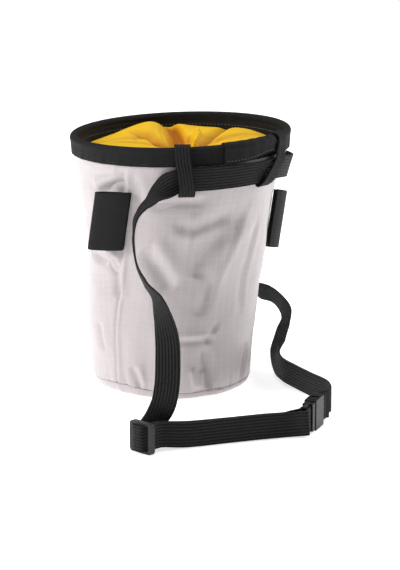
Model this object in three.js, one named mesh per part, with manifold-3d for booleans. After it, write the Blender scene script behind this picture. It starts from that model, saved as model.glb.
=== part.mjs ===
// Climbing chalk bag on a webbing waist belt, standing on a flat surface.
// Millimetres, +Z up, origin on the surface under the middle of the bag's base.
// A turn is an angle about Z: 0 faces the wearer (-Y), and it grows towards +X.
import * as THREE from 'three';
import { mergeVertices } from 'three/addons/utils/BufferGeometryUtils.js';
import Module from 'manifold-3d';

const wasm = await Module();
wasm.setup();

// Bag
const bagHeight = 163.5;
const rimRadius = 70;
const baseRadius = 50;
const clothWall = 1.4;
const sewnGap = 0.3;
const rimShift = 5.2;
const rimRise = 2.3;
const sideTurn = 58;

// Rim binding
const bindingHeight = 12;
const bindingInset = 1;
const bindingLeg = 1.35;
const rimRoll = 5;
const rollDepth = 5.2;
const joinFrom = -9;
const joinTo = 25;
const joinTape = 0.8;
const joinInside = 7;

// Base
const baseWall = 1.6;
const hemHeight = 4;
const baseTuck = 6;

// Side seams
const seamRidge = 1;
const seamWidth = 2.6;
const seamTop = 59;
const seamSlant = 14;

// Closure
const linerWall = 1.2;
const linerDepth = 12;
const linerPuff = 12;
const linerTwist = 55;
const twistBend = 1.4;
const foldFloor = 0.12;

// Belt
const beltWidth = 15;
const beltThick = 1.3;
const beltReach = 165;
const beltUp = 0.877;
const beltRest = 0.4;
const layerPitch = 1.9;
const barEase = 0.25;
const floorRise = 0.3;

// Belt loops
const loopWidth = 10;
const loopThick = 1.1;
const loopDroop = { left: 2.2, right: 0.8 };
const loopEase = 1.15;
const loopSeat = 0.36;
const loopTurns = { left: -30.5, right: 30.7 };
const loopLean = { left: 3.5, right: -11 };

// Brush loops
const brushHeight = 38.6;
const brushReach = 24;
const brushThick = 1.2;
const brushSlot = 2.2;
const brushTop = { left: 134.6, right: 124.2 };
const brushDroop = { left: 1.2, right: 5.5 };
const brushOff = { left: 1.2, right: 7 };
const brushAhead = { left: 0.8, right: 2.6 };
const brushSwing = { left: 3.8, right: 0 };
const brushOver = { left: 1, right: 0.35 };

// Slider
const sliderWidth = 18;
const sliderThick = 3.2;
const sliderBar = 2.6;
const sliderRail = 1.6;
const sliderTurn = -37.6;
const sliderHeading = -167;
const sliderRound = 2.2;
const slotSlack = 0.4;
const windowRound = 0.5;

// Buckle
const buckleWidth = 18.6;
const buckleThick = 7.6;
const buckleBar = 2.4;
const buckleTurn = 0.3;
const buckleOut = 0.914;
const buckleHeading = 128.3;
const buckleSlot = 3.1;
const maleBase = 5;
const mouthGap = 0.6;
const housingLength = 15;
const femaleSlot = 3.2;
const moldWall = 1.4;
const strapInset = 0.5;
const strapCorner = 1.6;
const bodyInset = 0.8;
const partPlay = 0.35;
const prongLength = 9.5;
const prongWidth = 2.2;
const prongRoot = 1;
const headLength = 4;
const headTip = 1;
const headInset = 0.3;
const guideWidth = 2.4;
const guideShort = 2;
const windowFrom = 2.6;
const cutPast = 1;

// Meshing: laps round the bag, and the longest step along a strap
const steps = 60;
const strapStep = 5;
const strapParts = 3;
const deg = Math.PI / 180;

const sliderHeight = beltWidth + slotSlack + 2 * sliderRail;
const beltInside = beltWidth + slotSlack;
const unit = (turn) => new THREE.Vector3(Math.sin(turn * deg), -Math.cos(turn * deg), 0);
const upward = new THREE.Vector3(0, 0, 1);
const bell = (x) => Math.exp(-0.5 * x * x);
const wrap = (turn) => ((((turn + 180) % 360) + 360) % 360) - 180;

// A smooth value between the rows of a table that is sorted by its key column
function between(rows, key, column, at) {
  const last = rows.length - 1;
  if (at <= rows[0][key]) return rows[0][column];
  if (at >= rows[last][key]) return rows[last][column];
  let i = 0;
  while (at > rows[i + 1][key]) i += 1;
  const value = (j) => rows[Math.min(Math.max(j, 0), last)][column];
  const place = (j) => rows[Math.min(Math.max(j, 0), last)][key];
  const span = place(i + 1) - place(i);
  const slope = (j) => (value(j + 1) - value(j - 1)) / (place(j + 1) - place(j - 1));
  const t = (at - place(i)) / span;
  const low = value(i) * (1 + 2 * t) * (1 - t) ** 2 + slope(i) * span * t * (1 - t) ** 2;
  const high = value(i + 1) * t * t * (3 - 2 * t) + slope(i + 1) * span * t * t * (t - 1);
  return low + high;
}

// A smooth value round the bag from rows sorted by turn
function around(rows, column, turn) {
  const at = wrap(turn);
  const lap = (row, shift) => ({ ...row, turn: row.turn + shift });
  const full = [...rows.slice(-2).map((row) => lap(row, -360)), ...rows,
    ...rows.slice(0, 2).map((row) => lap(row, 360))];
  return between(full, 'turn', column, at);
}

// Body sections: up is a share of the bag's height, flare runs from 0 at the
// base radius to 1 inside the rim, shift is a share of the rim's shift, and
// slack is the share of the dents and seam ridges that shows at that height
const sections = [
  { up: 0, flare: -0.04, shift: -0.05, slack: 1 },
  { up: 0.055, flare: 0.04, shift: -0.13, slack: 1 },
  { up: 0.122, flare: 0.09, shift: -0.19, slack: 1 },
  { up: 0.257, flare: 0.22, shift: -0.2, slack: 1 },
  { up: 0.39, flare: 0.28, shift: 0.04, slack: 1 },
  { up: 0.53, flare: 0.4, shift: 0.42, slack: 1 },
  { up: 0.64, flare: 0.49, shift: 0.5, slack: 1 },
  { up: 0.76, flare: 0.65, shift: 0.55, slack: 1 },
  { up: 0.82, flare: 0.77, shift: 0.7, slack: 1 },
  { up: 0.887, flare: 0.93, shift: 0.9, slack: 0.5 },
  { up: 0.923, flare: 1, shift: 1, slack: 0 },
  { up: 1, flare: 1, shift: 1, slack: 0 },
];

// Dents and puffs of the slack cloth: wide is in degrees, tall a share of the
// bag's height, depth a share of the base radius, and a puff has a minus
const dents = [
  { turn: -26, up: 0.56, wide: 13, tall: 0.1, depth: 0.05 },
  { turn: -2, up: 0.62, wide: 11, tall: 0.07, depth: -0.02 },
  { turn: 8, up: 0.42, wide: 16, tall: 0.1, depth: 0.034 },
  { turn: -5, up: 0.13, wide: 5, tall: 0.08, depth: 0.05 },
  { turn: 9, up: 0.1, wide: 7, tall: 0.06, depth: -0.024 },
  { turn: -20, up: 0.1, wide: 6, tall: 0.06, depth: -0.02 },
  { turn: -47, up: 0.14, wide: 6, tall: 0.09, depth: 0.036 },
  { turn: -44, up: 0.45, wide: 8, tall: 0.16, depth: -0.022 },
  { turn: -84, up: 0.84, wide: 12, tall: 0.035, depth: 0.03 },
  { turn: -78, up: 0.45, wide: 9, tall: 0.04, depth: 0.022 },
  { turn: -92, up: 0.28, wide: 14, tall: 0.12, depth: -0.024 },
  { turn: 44, up: 0.36, wide: 10, tall: 0.14, depth: -0.02 },
  { turn: 88, up: 0.42, wide: 15, tall: 0.1, depth: 0.04 },
  { turn: 120, up: 0.62, wide: 17, tall: 0.1, depth: -0.026 },
  { turn: 150, up: 0.3, wide: 15, tall: 0.11, depth: 0.044 },
  { turn: 178, up: 0.55, wide: 16, tall: 0.13, depth: 0.04 },
  { turn: -155, up: 0.24, wide: 13, tall: 0.1, depth: -0.026 },
  { turn: -128, up: 0.5, wide: 14, tall: 0.12, depth: 0.036 },
];

// The seam between body and base: lift is a share of the hem's height, tuck a
// share of how far the flat base stays inside the seam
const hem = [
  { turn: -160, lift: 1.2, tuck: 0.7 },
  { turn: -122, lift: 1.25, tuck: 0.8 },
  { turn: -92, lift: 1.7, tuck: 1.2 },
  { turn: -70, lift: 1.85, tuck: 1.3 },
  { turn: -52, lift: 1.4, tuck: 0.75 },
  { turn: -36, lift: 1.1, tuck: 0.4 },
  { turn: -20, lift: 1, tuck: 0.4 },
  { turn: 0, lift: 1, tuck: 0.6 },
  { turn: 20, lift: 1.1, tuck: 0.85 },
  { turn: 58, lift: 1.15, tuck: 0.8 },
  { turn: 110, lift: 1, tuck: 0.5 },
  { turn: 160, lift: 1.1, tuck: 0.6 },
];

// Lobes of the twisted closure: wide is in degrees, rise a share of the puff
const lobes = [
  { turn: -146, wide: 11, rise: 0.5 },
  { turn: -110, wide: 12, rise: 0.6 },
  { turn: -72, wide: 11, rise: 0.45 },
  { turn: -36, wide: 12, rise: 0.62 },
  { turn: 0, wide: 10, rise: 0.42 },
  { turn: 36, wide: 12, rise: 0.58 },
  { turn: 70, wide: 10, rise: 0.45 },
  { turn: 105, wide: 12, rise: 0.7 },
  { turn: 142, wide: 10, rise: 0.5 },
  { turn: 178, wide: 9, rise: 0.95 },
];

const insideRim = rimRadius - bindingLeg - sewnGap - bindingInset;
const seamTurn = (z) => seamTop + seamSlant * (1 - z / bagHeight);
const sideways = unit(sideTurn);

// The rim's plane rises towards one side, and less the lower a point lies
function lifted(point) {
  const share = point.dot(sideways) / rimRadius;
  point.z += rimRise * share * (point.z / bagHeight) ** 3;
  return point;
}

function bagRadius(turn, z) {
  const up = z / bagHeight;
  const flare = between(sections, 'up', 'flare', up);
  let radius = baseRadius + (insideRim - baseRadius) * flare;
  const calm = between(sections, 'up', 'slack', up);
  for (const side of [-1, 1]) {
    const away = wrap(turn - side * seamTurn(z)) * deg * radius;
    radius += calm * seamRidge * bell((2 * away) / seamWidth);
  }
  for (const dent of dents) {
    const here = bell(wrap(turn - dent.turn) / dent.wide) * bell((up - dent.up) / dent.tall);
    radius -= calm * dent.depth * baseRadius * here;
  }
  return radius;
}

const bagCentre = (z) => rimShift * between(sections, 'up', 'shift', z / bagHeight);

// A point on the bag's outside, or proud of it
function onBag(turn, z, proud = 0) {
  const point = unit(turn).multiplyScalar(bagRadius(turn, z) + proud);
  point.addScaledVector(sideways, bagCentre(z));
  point.z = z;
  return lifted(point);
}

// A point at a radius about the rim's own middle
function atRim(turn, radius, z) {
  const point = unit(turn).multiplyScalar(radius);
  point.addScaledVector(sideways, rimShift);
  point.z = z;
  return lifted(point);
}

// Meshes from rows of points
function solidOf(points, faces) {
  const geometry = new THREE.BufferGeometry();
  const flat = points.flatMap((p) => [p.x, p.y, p.z]);
  geometry.setAttribute('position', new THREE.Float32BufferAttribute(flat, 3));
  geometry.setIndex(faces.flat());
  return geometry;
}

// Closed profiles carried round the bag, or a profile from axis to axis
function lathed(profileAt, fromAxis = false) {
  const points = [];
  const faces = [];
  const rows = [];
  for (let i = 0; i < steps; i += 1) rows.push(profileAt((i * 360) / steps - 180));
  const count = rows[0].length;
  const poles = fromAxis ? [0, count - 1] : [];
  const ids = rows.map((row, i) => row.map((p, j) => {
    if (poles.includes(j) && i > 0) return null;
    points.push(p);
    return points.length - 1;
  }));
  const id = (i, j) => (poles.includes(j) ? ids[0][j] : ids[i % steps][j]);
  const lastRow = fromAxis ? count - 1 : count;
  for (let i = 0; i < steps; i += 1) {
    for (let j = 0; j < lastRow; j += 1) {
      const k = (j + 1) % count;
      const a = id(i, j);
      const b = id(i + 1, j);
      const c = id(i + 1, k);
      const d = id(i, k);
      if (a !== b) faces.push([a, b, c]);
      if (c !== d) faces.push([a, c, d]);
    }
  }
  return solidOf(points, faces);
}

// A strip with a flat section along stations { p, w }, w its width's direction,
// which is squared to the strip unless the strip is cut on a slant
function ribbon(stations, width, thick, square = true) {
  const curve = new THREE.CatmullRomCurve3(stations.map((s) => s.p), false, 'centripetal');
  const last = stations.length - 1;
  const marks = [];
  for (let i = 0; i < last; i += 1) {
    const length = stations[i].p.distanceTo(stations[i + 1].p);
    const parts = length < strapStep / 2 ? 1 : Math.min(strapParts, Math.ceil(length / strapStep));
    for (let k = 0; k < parts; k += 1) marks.push(i + k / parts);
  }
  marks.push(last);
  const points = [];
  const faces = [];
  for (const mark of marks) {
    const i = Math.min(Math.floor(mark), last - 1);
    const t = mark - i;
    const middle = curve.getPoint(mark / last);
    const ahead = curve.getTangent(mark / last);
    const side = stations[i].w.clone().multiplyScalar(1 - t).addScaledVector(stations[i + 1].w, t);
    if (square) side.addScaledVector(ahead, -side.dot(ahead));
    side.normalize();
    const out = new THREE.Vector3().crossVectors(ahead, side).normalize();
    for (const [s, o] of [[-1, -1], [1, -1], [1, 1], [-1, 1]]) {
      const corner = middle.clone().addScaledVector(side, (s * width) / 2);
      points.push(corner.addScaledVector(out, (o * thick) / 2));
    }
  }
  for (let m = 0; m < marks.length - 1; m += 1) {
    for (let k = 0; k < 4; k += 1) {
      const a = 4 * m + k;
      const b = 4 * m + ((k + 1) % 4);
      faces.push([a, b, b + 4], [a, b + 4, a + 4]);
    }
  }
  const end = 4 * (marks.length - 1);
  faces.push([0, 2, 1], [0, 3, 2], [end, end + 1, end + 2], [end, end + 2, end + 3]);
  return solidOf(points, faces);
}

// Booleans on closed meshes
function solid(geometry) {
  const bare = geometry.clone();
  for (const name of ['normal', 'uv']) bare.deleteAttribute(name);
  const merged = mergeVertices(bare, 1e-4);
  return new wasm.Manifold(new wasm.Mesh({
    numProp: 3,
    vertProperties: new Float32Array(merged.attributes.position.array),
    triVerts: new Uint32Array(merged.index.array),
  }));
}

function geometryOf(manifold) {
  const mesh = manifold.getMesh();
  const geometry = new THREE.BufferGeometry();
  geometry.setAttribute('position', new THREE.BufferAttribute(new Float32Array(mesh.vertProperties), 3));
  geometry.setIndex([...mesh.triVerts]);
  return geometry;
}

function block(low, high) {
  const size = high.map((v, i) => v - low[i]);
  const geometry = new THREE.BoxGeometry(...size);
  geometry.translate(...low.map((v, i) => v + size[i] / 2));
  return geometry;
}

// A plate in the along-up plane with rounded corners and windows, thick across
function plate(length, height, radius, thick, windows = []) {
  const outline = (x0, x1, y0, y1, r) => {
    const shape = new THREE.Shape();
    shape.absarc(x1 - r, y1 - r, r, 0, Math.PI / 2);
    shape.absarc(x0 + r, y1 - r, r, Math.PI / 2, Math.PI);
    shape.absarc(x0 + r, y0 + r, r, Math.PI, 1.5 * Math.PI);
    shape.absarc(x1 - r, y0 + r, r, 1.5 * Math.PI, 2 * Math.PI);
    return shape;
  };
  const shape = outline(-length / 2, length / 2, -height / 2, height / 2, radius);
  for (const w of windows) shape.holes.push(outline(w.from, w.to, -w.tall / 2, w.tall / 2, w.round));
  const geometry = new THREE.ExtrudeGeometry(shape, { depth: thick, bevelEnabled: false, curveSegments: 4 });
  geometry.translate(0, 0, -thick / 2);
  geometry.rotateX(Math.PI / 2);
  return geometry;
}

const group = new THREE.Group();

function add(name, geometry, look, place = null) {
  const mesh = new THREE.Mesh(geometry, new THREE.MeshStandardMaterial(look));
  mesh.name = name;
  if (place) {
    mesh.position.copy(place.origin);
    mesh.rotation.z = place.spin;
  }
  group.add(mesh);
}

const clothLook = { color: 0xc4bcbb, roughness: 0.75, metalness: 0 };
const linerLook = { color: 0xf2b21a, roughness: 0.7, metalness: 0 };
const tapeLook = { color: 0x232324, roughness: 0.85, metalness: 0 };
const webbingLook = { color: 0x1b1b1c, roughness: 0.85, metalness: 0 };
const elasticLook = { color: 0x161617, roughness: 0.8, metalness: 0 };
const plasticLook = { color: 0x2c2c2e, roughness: 0.5, metalness: 0 };

// Body: a cloth tube from the hem to inside the rim binding
const hemTop = (turn) => hemHeight * around(hem, 'lift', turn);
const bodyTop = bagHeight - rollDepth;
const bodyLevels = [0.055, 0.1, 0.16, 0.24, 0.33, 0.42, 0.52, 0.61, 0.7, 0.78, 0.86, 0.92];
const evenFrom = 0.1;

function bodyProfile(turn) {
  const start = hemTop(turn) + sewnGap;
  const levels = bodyLevels.map((up) => start + (bagHeight * up - start) * Math.min(1, up / evenFrom));
  const heights = [start, ...levels, bodyTop];
  const outside = heights.map((z) => onBag(turn, z));
  const inside = heights.map((z) => onBag(turn, z, -clothWall)).reverse();
  return [...outside, ...inside];
}
add('bag_body', lathed(bodyProfile), clothLook);

// Base: a shallow dish whose edge turns up to the hem
function baseProfile(turn) {
  const top = hemTop(turn);
  const edge = bagRadius(turn, top) - sewnGap;
  const tuck = baseTuck * around(hem, 'tuck', turn);
  const middle = new THREE.Vector3().addScaledVector(sideways, bagCentre(top));
  const place = (radius, z) => unit(turn).multiplyScalar(radius).add(middle).setZ(z);
  const bend = (inset) => [0, 30, 60, 90].map((a) => place(
    edge - tuck + (tuck - inset) * Math.sin(a * deg),
    inset + (top - inset) * (1 - Math.cos(a * deg)),
  ));
  const under = [middle, ...bend(0)];
  const above = [middle.clone().setZ(baseWall), ...bend(baseWall)].reverse();
  return [...under, ...above];
}
add('base_panel', lathed(baseProfile, true), clothLook);

// Rim binding: tape folded over the stiff edge, its slot holding the body's top.
// out is from the rim's outside inwards, down is from the rim's top
const rollRadius = rimRoll / 2;
const slotOut = rimRadius - insideRim - sewnGap;
const slotIn = rimRadius - insideRim + clothWall + sewnGap;

function bindingSection(grow, innerDown = bindingHeight) {
  const roll = [-30, 0, 30, 60, 90, 120, 150, 180, 210].map((a) => ({
    out: rollRadius - (rollRadius + grow) * Math.cos(a * deg),
    down: rollRadius - (rollRadius + grow) * Math.sin(a * deg),
  }));
  const outerFoot = { out: slotOut - bindingLeg - grow, down: bindingHeight };
  const innerFoot = { out: slotIn + bindingLeg + grow, down: innerDown };
  return [outerFoot, ...roll, innerFoot];
}

function rimPoint(turn, { out, down }) {
  return atRim(turn, rimRadius - out, bagHeight - down);
}

function bindingProfile(turn) {
  const slot = [
    { out: slotIn, down: bindingHeight },
    { out: slotIn, down: rollDepth - sewnGap },
    { out: slotOut, down: rollDepth - sewnGap },
    { out: slotOut, down: bindingHeight },
  ];
  return [...bindingSection(0), ...slot].map((spot) => rimPoint(turn, spot));
}
add('rim_binding', lathed(bindingProfile), tapeLook);

// The tape's end laid over its start, sewn down beside the right belt loop
function joinGeometry() {
  const under = bindingSection(sewnGap, joinInside);
  const over = bindingSection(sewnGap + joinTape, joinInside).reverse();
  const sectionLine = [...over, ...under];
  const count = sectionLine.length;
  const cuts = 9;
  const points = [];
  const faces = [];
  for (let i = 0; i <= cuts; i += 1) {
    const turn = joinFrom + ((joinTo - joinFrom) * i) / cuts;
    for (const spot of sectionLine) points.push(rimPoint(turn, spot));
  }
  for (let i = 0; i < cuts; i += 1) {
    for (let j = 0; j < count; j += 1) {
      const a = i * count + j;
      const b = i * count + ((j + 1) % count);
      faces.push([a, b, b + count], [a, b + count, a + count]);
    }
  }
  const half = count / 2;
  for (let j = 0; j < half - 1; j += 1) {
    const a = j;
    const b = j + 1;
    const c = count - 2 - j;
    const d = count - 1 - j;
    faces.push([a, c, b], [a, d, c]);
    const end = cuts * count;
    faces.push([end + a, end + b, end + c], [end + a, end + c, end + d]);
  }
  return solidOf(points, faces);
}
add('rim_tape_join', joinGeometry(), tapeLook);

// Closure: gathered cloth that puffs up inside the rim and twists to a knot
const linerRadius = rimRadius - slotIn - bindingLeg - sewnGap;
const linerRings = [
  { out: 1, puff: 0 },
  { out: 0.93, puff: 0.34 },
  { out: 0.8, puff: 0.74 },
  { out: 0.64, puff: 0.96 },
  { out: 0.47, puff: 1 },
  { out: 0.31, puff: 0.8 },
  { out: 0.17, puff: 0.4 },
  { out: 0.07, puff: 0.12 },
];

function linerHeight(turn, out) {
  const swirl = turn + linerTwist * (1 - out) ** twistBend;
  let fold = foldFloor;
  for (const lobe of lobes) fold += lobe.rise * bell(wrap(swirl - lobe.turn) / lobe.wide);
  const puff = between([...linerRings].reverse(), 'out', 'puff', out);
  return bagHeight - linerDepth + linerPuff * puff * fold;
}

function linerProfile(turn) {
  const ring = (row, down) => atRim(turn, linerRadius * row.out, linerHeight(turn, row.out) - down);
  const knot = (down) => atRim(0, 0, bagHeight - linerDepth - down);
  const top = linerRings.map((row) => ring(row, 0)).reverse();
  const bottom = linerRings.map((row) => ring(row, linerWall));
  return [knot(linerWall), ...bottom.reverse(), ...top.reverse(), knot(0)];
}
add('liner_closure', lathed(linerProfile, true), linerLook);

// Belt height on the bag, and how its width leans with the bag's flare
const beltZ = bagHeight * beltUp;
const beltProud = loopThick + 2 * sewnGap + loopEase + beltThick / 2;

function leanAt(turn, z) {
  const step = beltWidth / 4;
  return onBag(turn, z + step).sub(onBag(turn, z - step)).normalize();
}

// Belt loops: webbing up inside the rim, over its roll, down round the belt and
// back up behind it. share says how far the loop has leaned at a row, and a loop
// that leans more ends lower, so that its corners stay clear of the binding
function loopStations(turn, lean, droop) {
  const clear = sewnGap + loopThick / 2;
  const eased = clear + loopSeat;
  const across = (at) => unit(at + 90);
  const rollAt = rimRadius - rollRadius;
  const wound = rollRadius + eased;
  const innerAt = rimRadius - slotIn - bindingLeg - eased;
  const foot = bagHeight - bindingHeight;
  const start = { p: atRim(turn, innerAt, foot + bindingHeight * 0.3), w: across(turn) };
  const over = [175, 140, 105, 75, 40, 5].map((a) => ({
    p: atRim(turn, rollAt + wound * Math.cos(a * deg), bagHeight - rollRadius + wound * Math.sin(a * deg)),
    w: across(turn),
  }));
  const outer = beltProud + beltThick / 2 + clear;
  const low = beltZ - beltWidth / 2;
  const corner = 2 * loopWidth * Math.sin(Math.abs(lean) * deg);
  const rows = [
    { proud: rimRadius - insideRim + eased, z: foot + bindingHeight / 4, share: 0.12 },
    { proud: outer, z: foot - loopThick, share: 0.3 },
    { proud: outer + loopEase, z: beltZ, share: 0.65 },
    { proud: outer + loopEase, z: low + loopThick, share: 0.95 },
    { proud: beltProud, z: low - clear - droop, share: 1 },
    { proud: eased + sewnGap, z: low - droop / 2, share: 0.98 },
    { proud: eased, z: low + 3 * loopThick, share: 0.9 },
    { proud: eased, z: beltZ, share: 0.78 },
    { proud: eased, z: foot - loopThick - corner, share: 0.64 },
  ];
  const down = rows.map((row) => {
    const at = turn + lean * row.share;
    return { p: onBag(at, row.z, row.proud), w: across(at) };
  });
  return [start, ...over, ...down];
}
for (const side of ['left', 'right']) {
  const stations = loopStations(loopTurns[side], loopLean[side], loopDroop[side]);
  add(`belt_loop_${side}`, ribbon(stations, loopWidth, loopThick), webbingLook);
}

// Brush loops: wide elastic folded to a flat sleeve and sewn beside the side seam.
// along is a share of the sleeve's reach, proud is from the bag's outside
function brushStations(side) {
  const sign = side === 'left' ? -1 : 1;
  const foot = brushTop[side] - brushHeight;
  const middle = foot + brushHeight / 2;
  const edgeTurn = (z) => {
    const share = (z - foot) / brushHeight;
    return sign * (seamTurn(z) - brushAhead[side] - brushSwing[side] * share);
  };
  const seam = edgeTurn(middle);
  const start = onBag(seam, middle, sewnGap + seamRidge * brushOver[side] + brushThick / 2);
  const outward = unit(seam);
  const away = unit(seam + sign * 90);
  const leave = Math.atan2(brushOff[side], brushReach);
  const ahead = away.clone().multiplyScalar(Math.cos(leave)).addScaledVector(outward, Math.sin(leave));
  const across = new THREE.Vector3().crossVectors(ahead, upward).normalize();
  if (across.dot(outward) < 0) across.negate();
  const onSeam = (z) => onBag(edgeTurn(z), z);
  const lean = onSeam(brushTop[side]).sub(onSeam(foot)).normalize();
  const apart = brushThick + brushSlot;
  const rows = [
    { along: 0.02, proud: 0 },
    { along: 0.25, proud: -0.1 },
    { along: 0.55, proud: -0.25 },
    { along: 0.85, proud: -0.12 },
    { along: 0.96, proud: 0.2 },
    { along: 1, proud: 0.5 },
    { along: 0.96, proud: 0.8 },
    { along: 0.85, proud: 1.1 },
    { along: 0.55, proud: 1.2 },
    { along: 0.25, proud: 1.0 },
    { along: 0.02, proud: 0.5 },
  ];
  return rows.map((row) => {
    const p = start.clone().addScaledVector(ahead, row.along * brushReach);
    p.addScaledVector(across, row.proud * apart);
    p.z -= row.along * brushDroop[side];
    return { p, w: lean };
  });
}
for (const side of ['left', 'right']) {
  add(`brush_loop_${side}`, ribbon(brushStations(side), brushHeight, brushThick, false), elasticLook);
}

// Plan frames: along a heading, across it and up
function planFrame(turn, reach, heading, height) {
  const origin = unit(turn).multiplyScalar(reach);
  origin.z = height;
  const along = unit(heading);
  const across = unit(heading + 90);
  return {
    origin,
    spin: (heading - 90) * deg,
    at: (a, c) => origin.clone().addScaledVector(along, a).addScaledVector(across, c),
  };
}
const sliderPlace = planFrame(sliderTurn, beltReach, sliderHeading, sliderHeight / 2);
const bucklePlace = planFrame(buckleTurn, beltReach * buckleOut, buckleHeading, buckleWidth / 2);

// Slider: a flat frame with a middle bar
const slotWidth = (sliderWidth - 3 * sliderBar) / 2;
const sliderWindows = [-1, 1].map((side) => {
  const near = sliderBar / 2;
  const far = near + slotWidth;
  const [from, to] = side > 0 ? [near, far] : [-far, -near];
  return { from, to, tall: beltInside, round: windowRound };
});
add('slider', plate(sliderWidth, sliderHeight, sliderRound, sliderThick, sliderWindows), plasticLook, sliderPlace);

// Buckle halves, along the buckle from the male half's strap bar
const maleStart = -buckleBar / 2;
const maleBlock = buckleBar / 2 + buckleSlot;
const mouth = maleBlock + maleBase + mouthGap;
const housingEnd = mouth + housingLength;
const femaleBarAt = housingEnd + femaleSlot + buckleBar / 2;
const femaleEnd = femaleBarAt + buckleBar / 2;
const halfWidth = buckleWidth / 2;
const cavityHalf = buckleThick / 2 - moldWall;
const prongOut = halfWidth - moldWall - partPlay;
const prongHalf = cavityHalf - partPlay;
const strapTall = buckleWidth - 2 * strapInset;

// A strap frame from one place along the buckle to another, with its slot
function strapFrame(from, to, slotFrom, slotTo) {
  const middle = (from + to) / 2;
  const slot = { from: slotFrom - middle, to: slotTo - middle, tall: beltInside, round: windowRound };
  const frame = plate(to - from, strapTall, strapCorner, buckleBar, [slot]);
  frame.translate(middle, 0, 0);
  return solid(frame);
}

// The male half: strap frame, body, two prongs with heads and a guide between
function maleGeometry() {
  const bodyEnd = maleBlock + maleBase;
  const thick = buckleThick / 2 - strapInset;
  const tall = halfWidth - bodyInset;
  let body = strapFrame(maleStart, bodyEnd, maleStart + buckleBar, maleBlock);
  body = body.add(solid(block([maleBlock, -thick, -tall], [bodyEnd, thick, tall])));
  const reach = mouth + prongLength;
  const root = maleBlock + prongRoot;
  for (const side of [-1, 1]) {
    const ordered = (inner, outer) => [inner * side, outer * side].sort((a, b) => a - b);
    const [armLow, armHigh] = ordered(prongOut - prongWidth, prongOut);
    const [headLow, headHigh] = ordered(prongOut - prongWidth, halfWidth - headInset);
    const arm = block([root, -prongHalf, armLow], [reach, prongHalf, armHigh]);
    const head = block([reach - headTip - headLength, -prongHalf, headLow],
      [reach - headTip, prongHalf, headHigh]);
    body = body.add(solid(arm)).add(solid(head));
  }
  const guide = block([root, -prongHalf, -guideWidth / 2],
    [reach - guideShort, prongHalf, guideWidth / 2]);
  return geometryOf(body.add(solid(guide)));
}

// The female half: a shell open at its mouth and sides, and a strap frame
function femaleGeometry() {
  const shell = block([mouth, -buckleThick / 2, -halfWidth], [housingEnd, buckleThick / 2, halfWidth]);
  const cavity = block([mouth - cutPast, -cavityHalf, -halfWidth + moldWall],
    [housingEnd - moldWall, cavityHalf, halfWidth - moldWall]);
  const sideWindow = block([mouth + windowFrom, -cavityHalf, -halfWidth - cutPast],
    [mouth + prongLength + headTip, cavityHalf, halfWidth + cutPast]);
  const frame = strapFrame(housingEnd - moldWall, femaleEnd, housingEnd, housingEnd + femaleSlot);
  return geometryOf(solid(shell).subtract(solid(cavity)).subtract(solid(sideWindow)).add(frame));
}
add('buckle_male', maleGeometry(), plasticLook, bucklePlace);
add('buckle_female', femaleGeometry(), plasticLook, bucklePlace);

// Belt rows that hang or lie free: out is a share of the belt's reach, up a share
// of the bag's height, and edge and rise point the webbing's upper edge
const fallRows = [
  { turn: -36.9, out: 0.942, up: 0.073, edge: -80, rise: 47 },
  { turn: -35.3, out: 0.918, up: 0.101, edge: -94, rise: 27 },
  { turn: -33.6, out: 0.894, up: 0.147, edge: -115, rise: 6 },
  { turn: -32.8, out: 0.855, up: 0.203, edge: -122, rise: 0 },
  { turn: -32.6, out: 0.806, up: 0.28, edge: -128, rise: 0 },
  { turn: -32.9, out: 0.758, up: 0.357, edge: -148, rise: 0 },
  { turn: -34.3, out: 0.716, up: 0.428, edge: -172, rise: 0 },
  { turn: -36.4, out: 0.681, up: 0.487, edge: -186, rise: 0 },
  { turn: -40.2, out: 0.649, up: 0.539, edge: -197, rise: 0 },
  { turn: -43.4, out: 0.618, up: 0.594, edge: -206, rise: 0 },
  { turn: -45.6, out: 0.577, up: 0.672, edge: -212, rise: 1 },
  { turn: -46, out: 0.53, up: 0.739, edge: -212, rise: 3 },
  { turn: -44.5, out: 0.489, up: 0.777, edge: -212, rise: 7 },
  { turn: -40.8, out: 0.455, up: 0.81, edge: -212, rise: 16 },
  { turn: -36.4, out: 0.431, up: 0.842, edge: -212, rise: 46 },
];

// Belt rows on the bag: proud counts belt thicknesses past the loops' inner layer
const bagRows = [
  { turn: -33.2, proud: 0.05, drop: 0.003 },
  { turn: -24, proud: 0, drop: 0 },
  { turn: -12, proud: 0, drop: 0 },
  { turn: 9, proud: 0, drop: 0 },
  { turn: 30.7, proud: 0, drop: 0 },
  { turn: 48, proud: 0.6, drop: 0.016 },
  { turn: 62, proud: 1.2, drop: 0.03 },
  { turn: 80, proud: 1.6, drop: 0.039 },
];

// Belt rows of the hidden way round behind the bag and of the arch beside it
const returnRows = [
  { turn: 100, out: 0.455, up: 0.8, edge: -80, rise: 76 },
  { turn: 116, out: 0.47, up: 0.745, edge: -64, rise: 50 },
  { turn: 128, out: 0.49, up: 0.67, edge: -52, rise: 20 },
  { turn: 134, out: 0.51, up: 0.57, edge: -46, rise: 0 },
  { turn: 132, out: 0.515, up: 0.465, edge: -48, rise: 0 },
  { turn: 124, out: 0.5, up: 0.375, edge: -56, rise: 8 },
  { turn: 113, out: 0.482, up: 0.315, edge: -67, rise: 30 },
  { turn: 102, out: 0.471, up: 0.284, edge: -77, rise: 57 },
  { turn: 95.5, out: 0.493, up: 0.273, edge: -47, rise: 55 },
  { turn: 90.3, out: 0.511, up: 0.242, edge: -20, rise: 44 },
  { turn: 86.8, out: 0.516, up: 0.205, edge: -6, rise: 38 },
  { turn: 84.5, out: 0.489, up: 0.156, edge: -6.5, rise: 12 },
  { turn: 80.2, out: 0.449, up: 0.094, edge: -8, rise: 9 },
  { turn: 69.7, out: 0.418, up: 0.053, edge: -10, rise: 57 },
];

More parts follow.
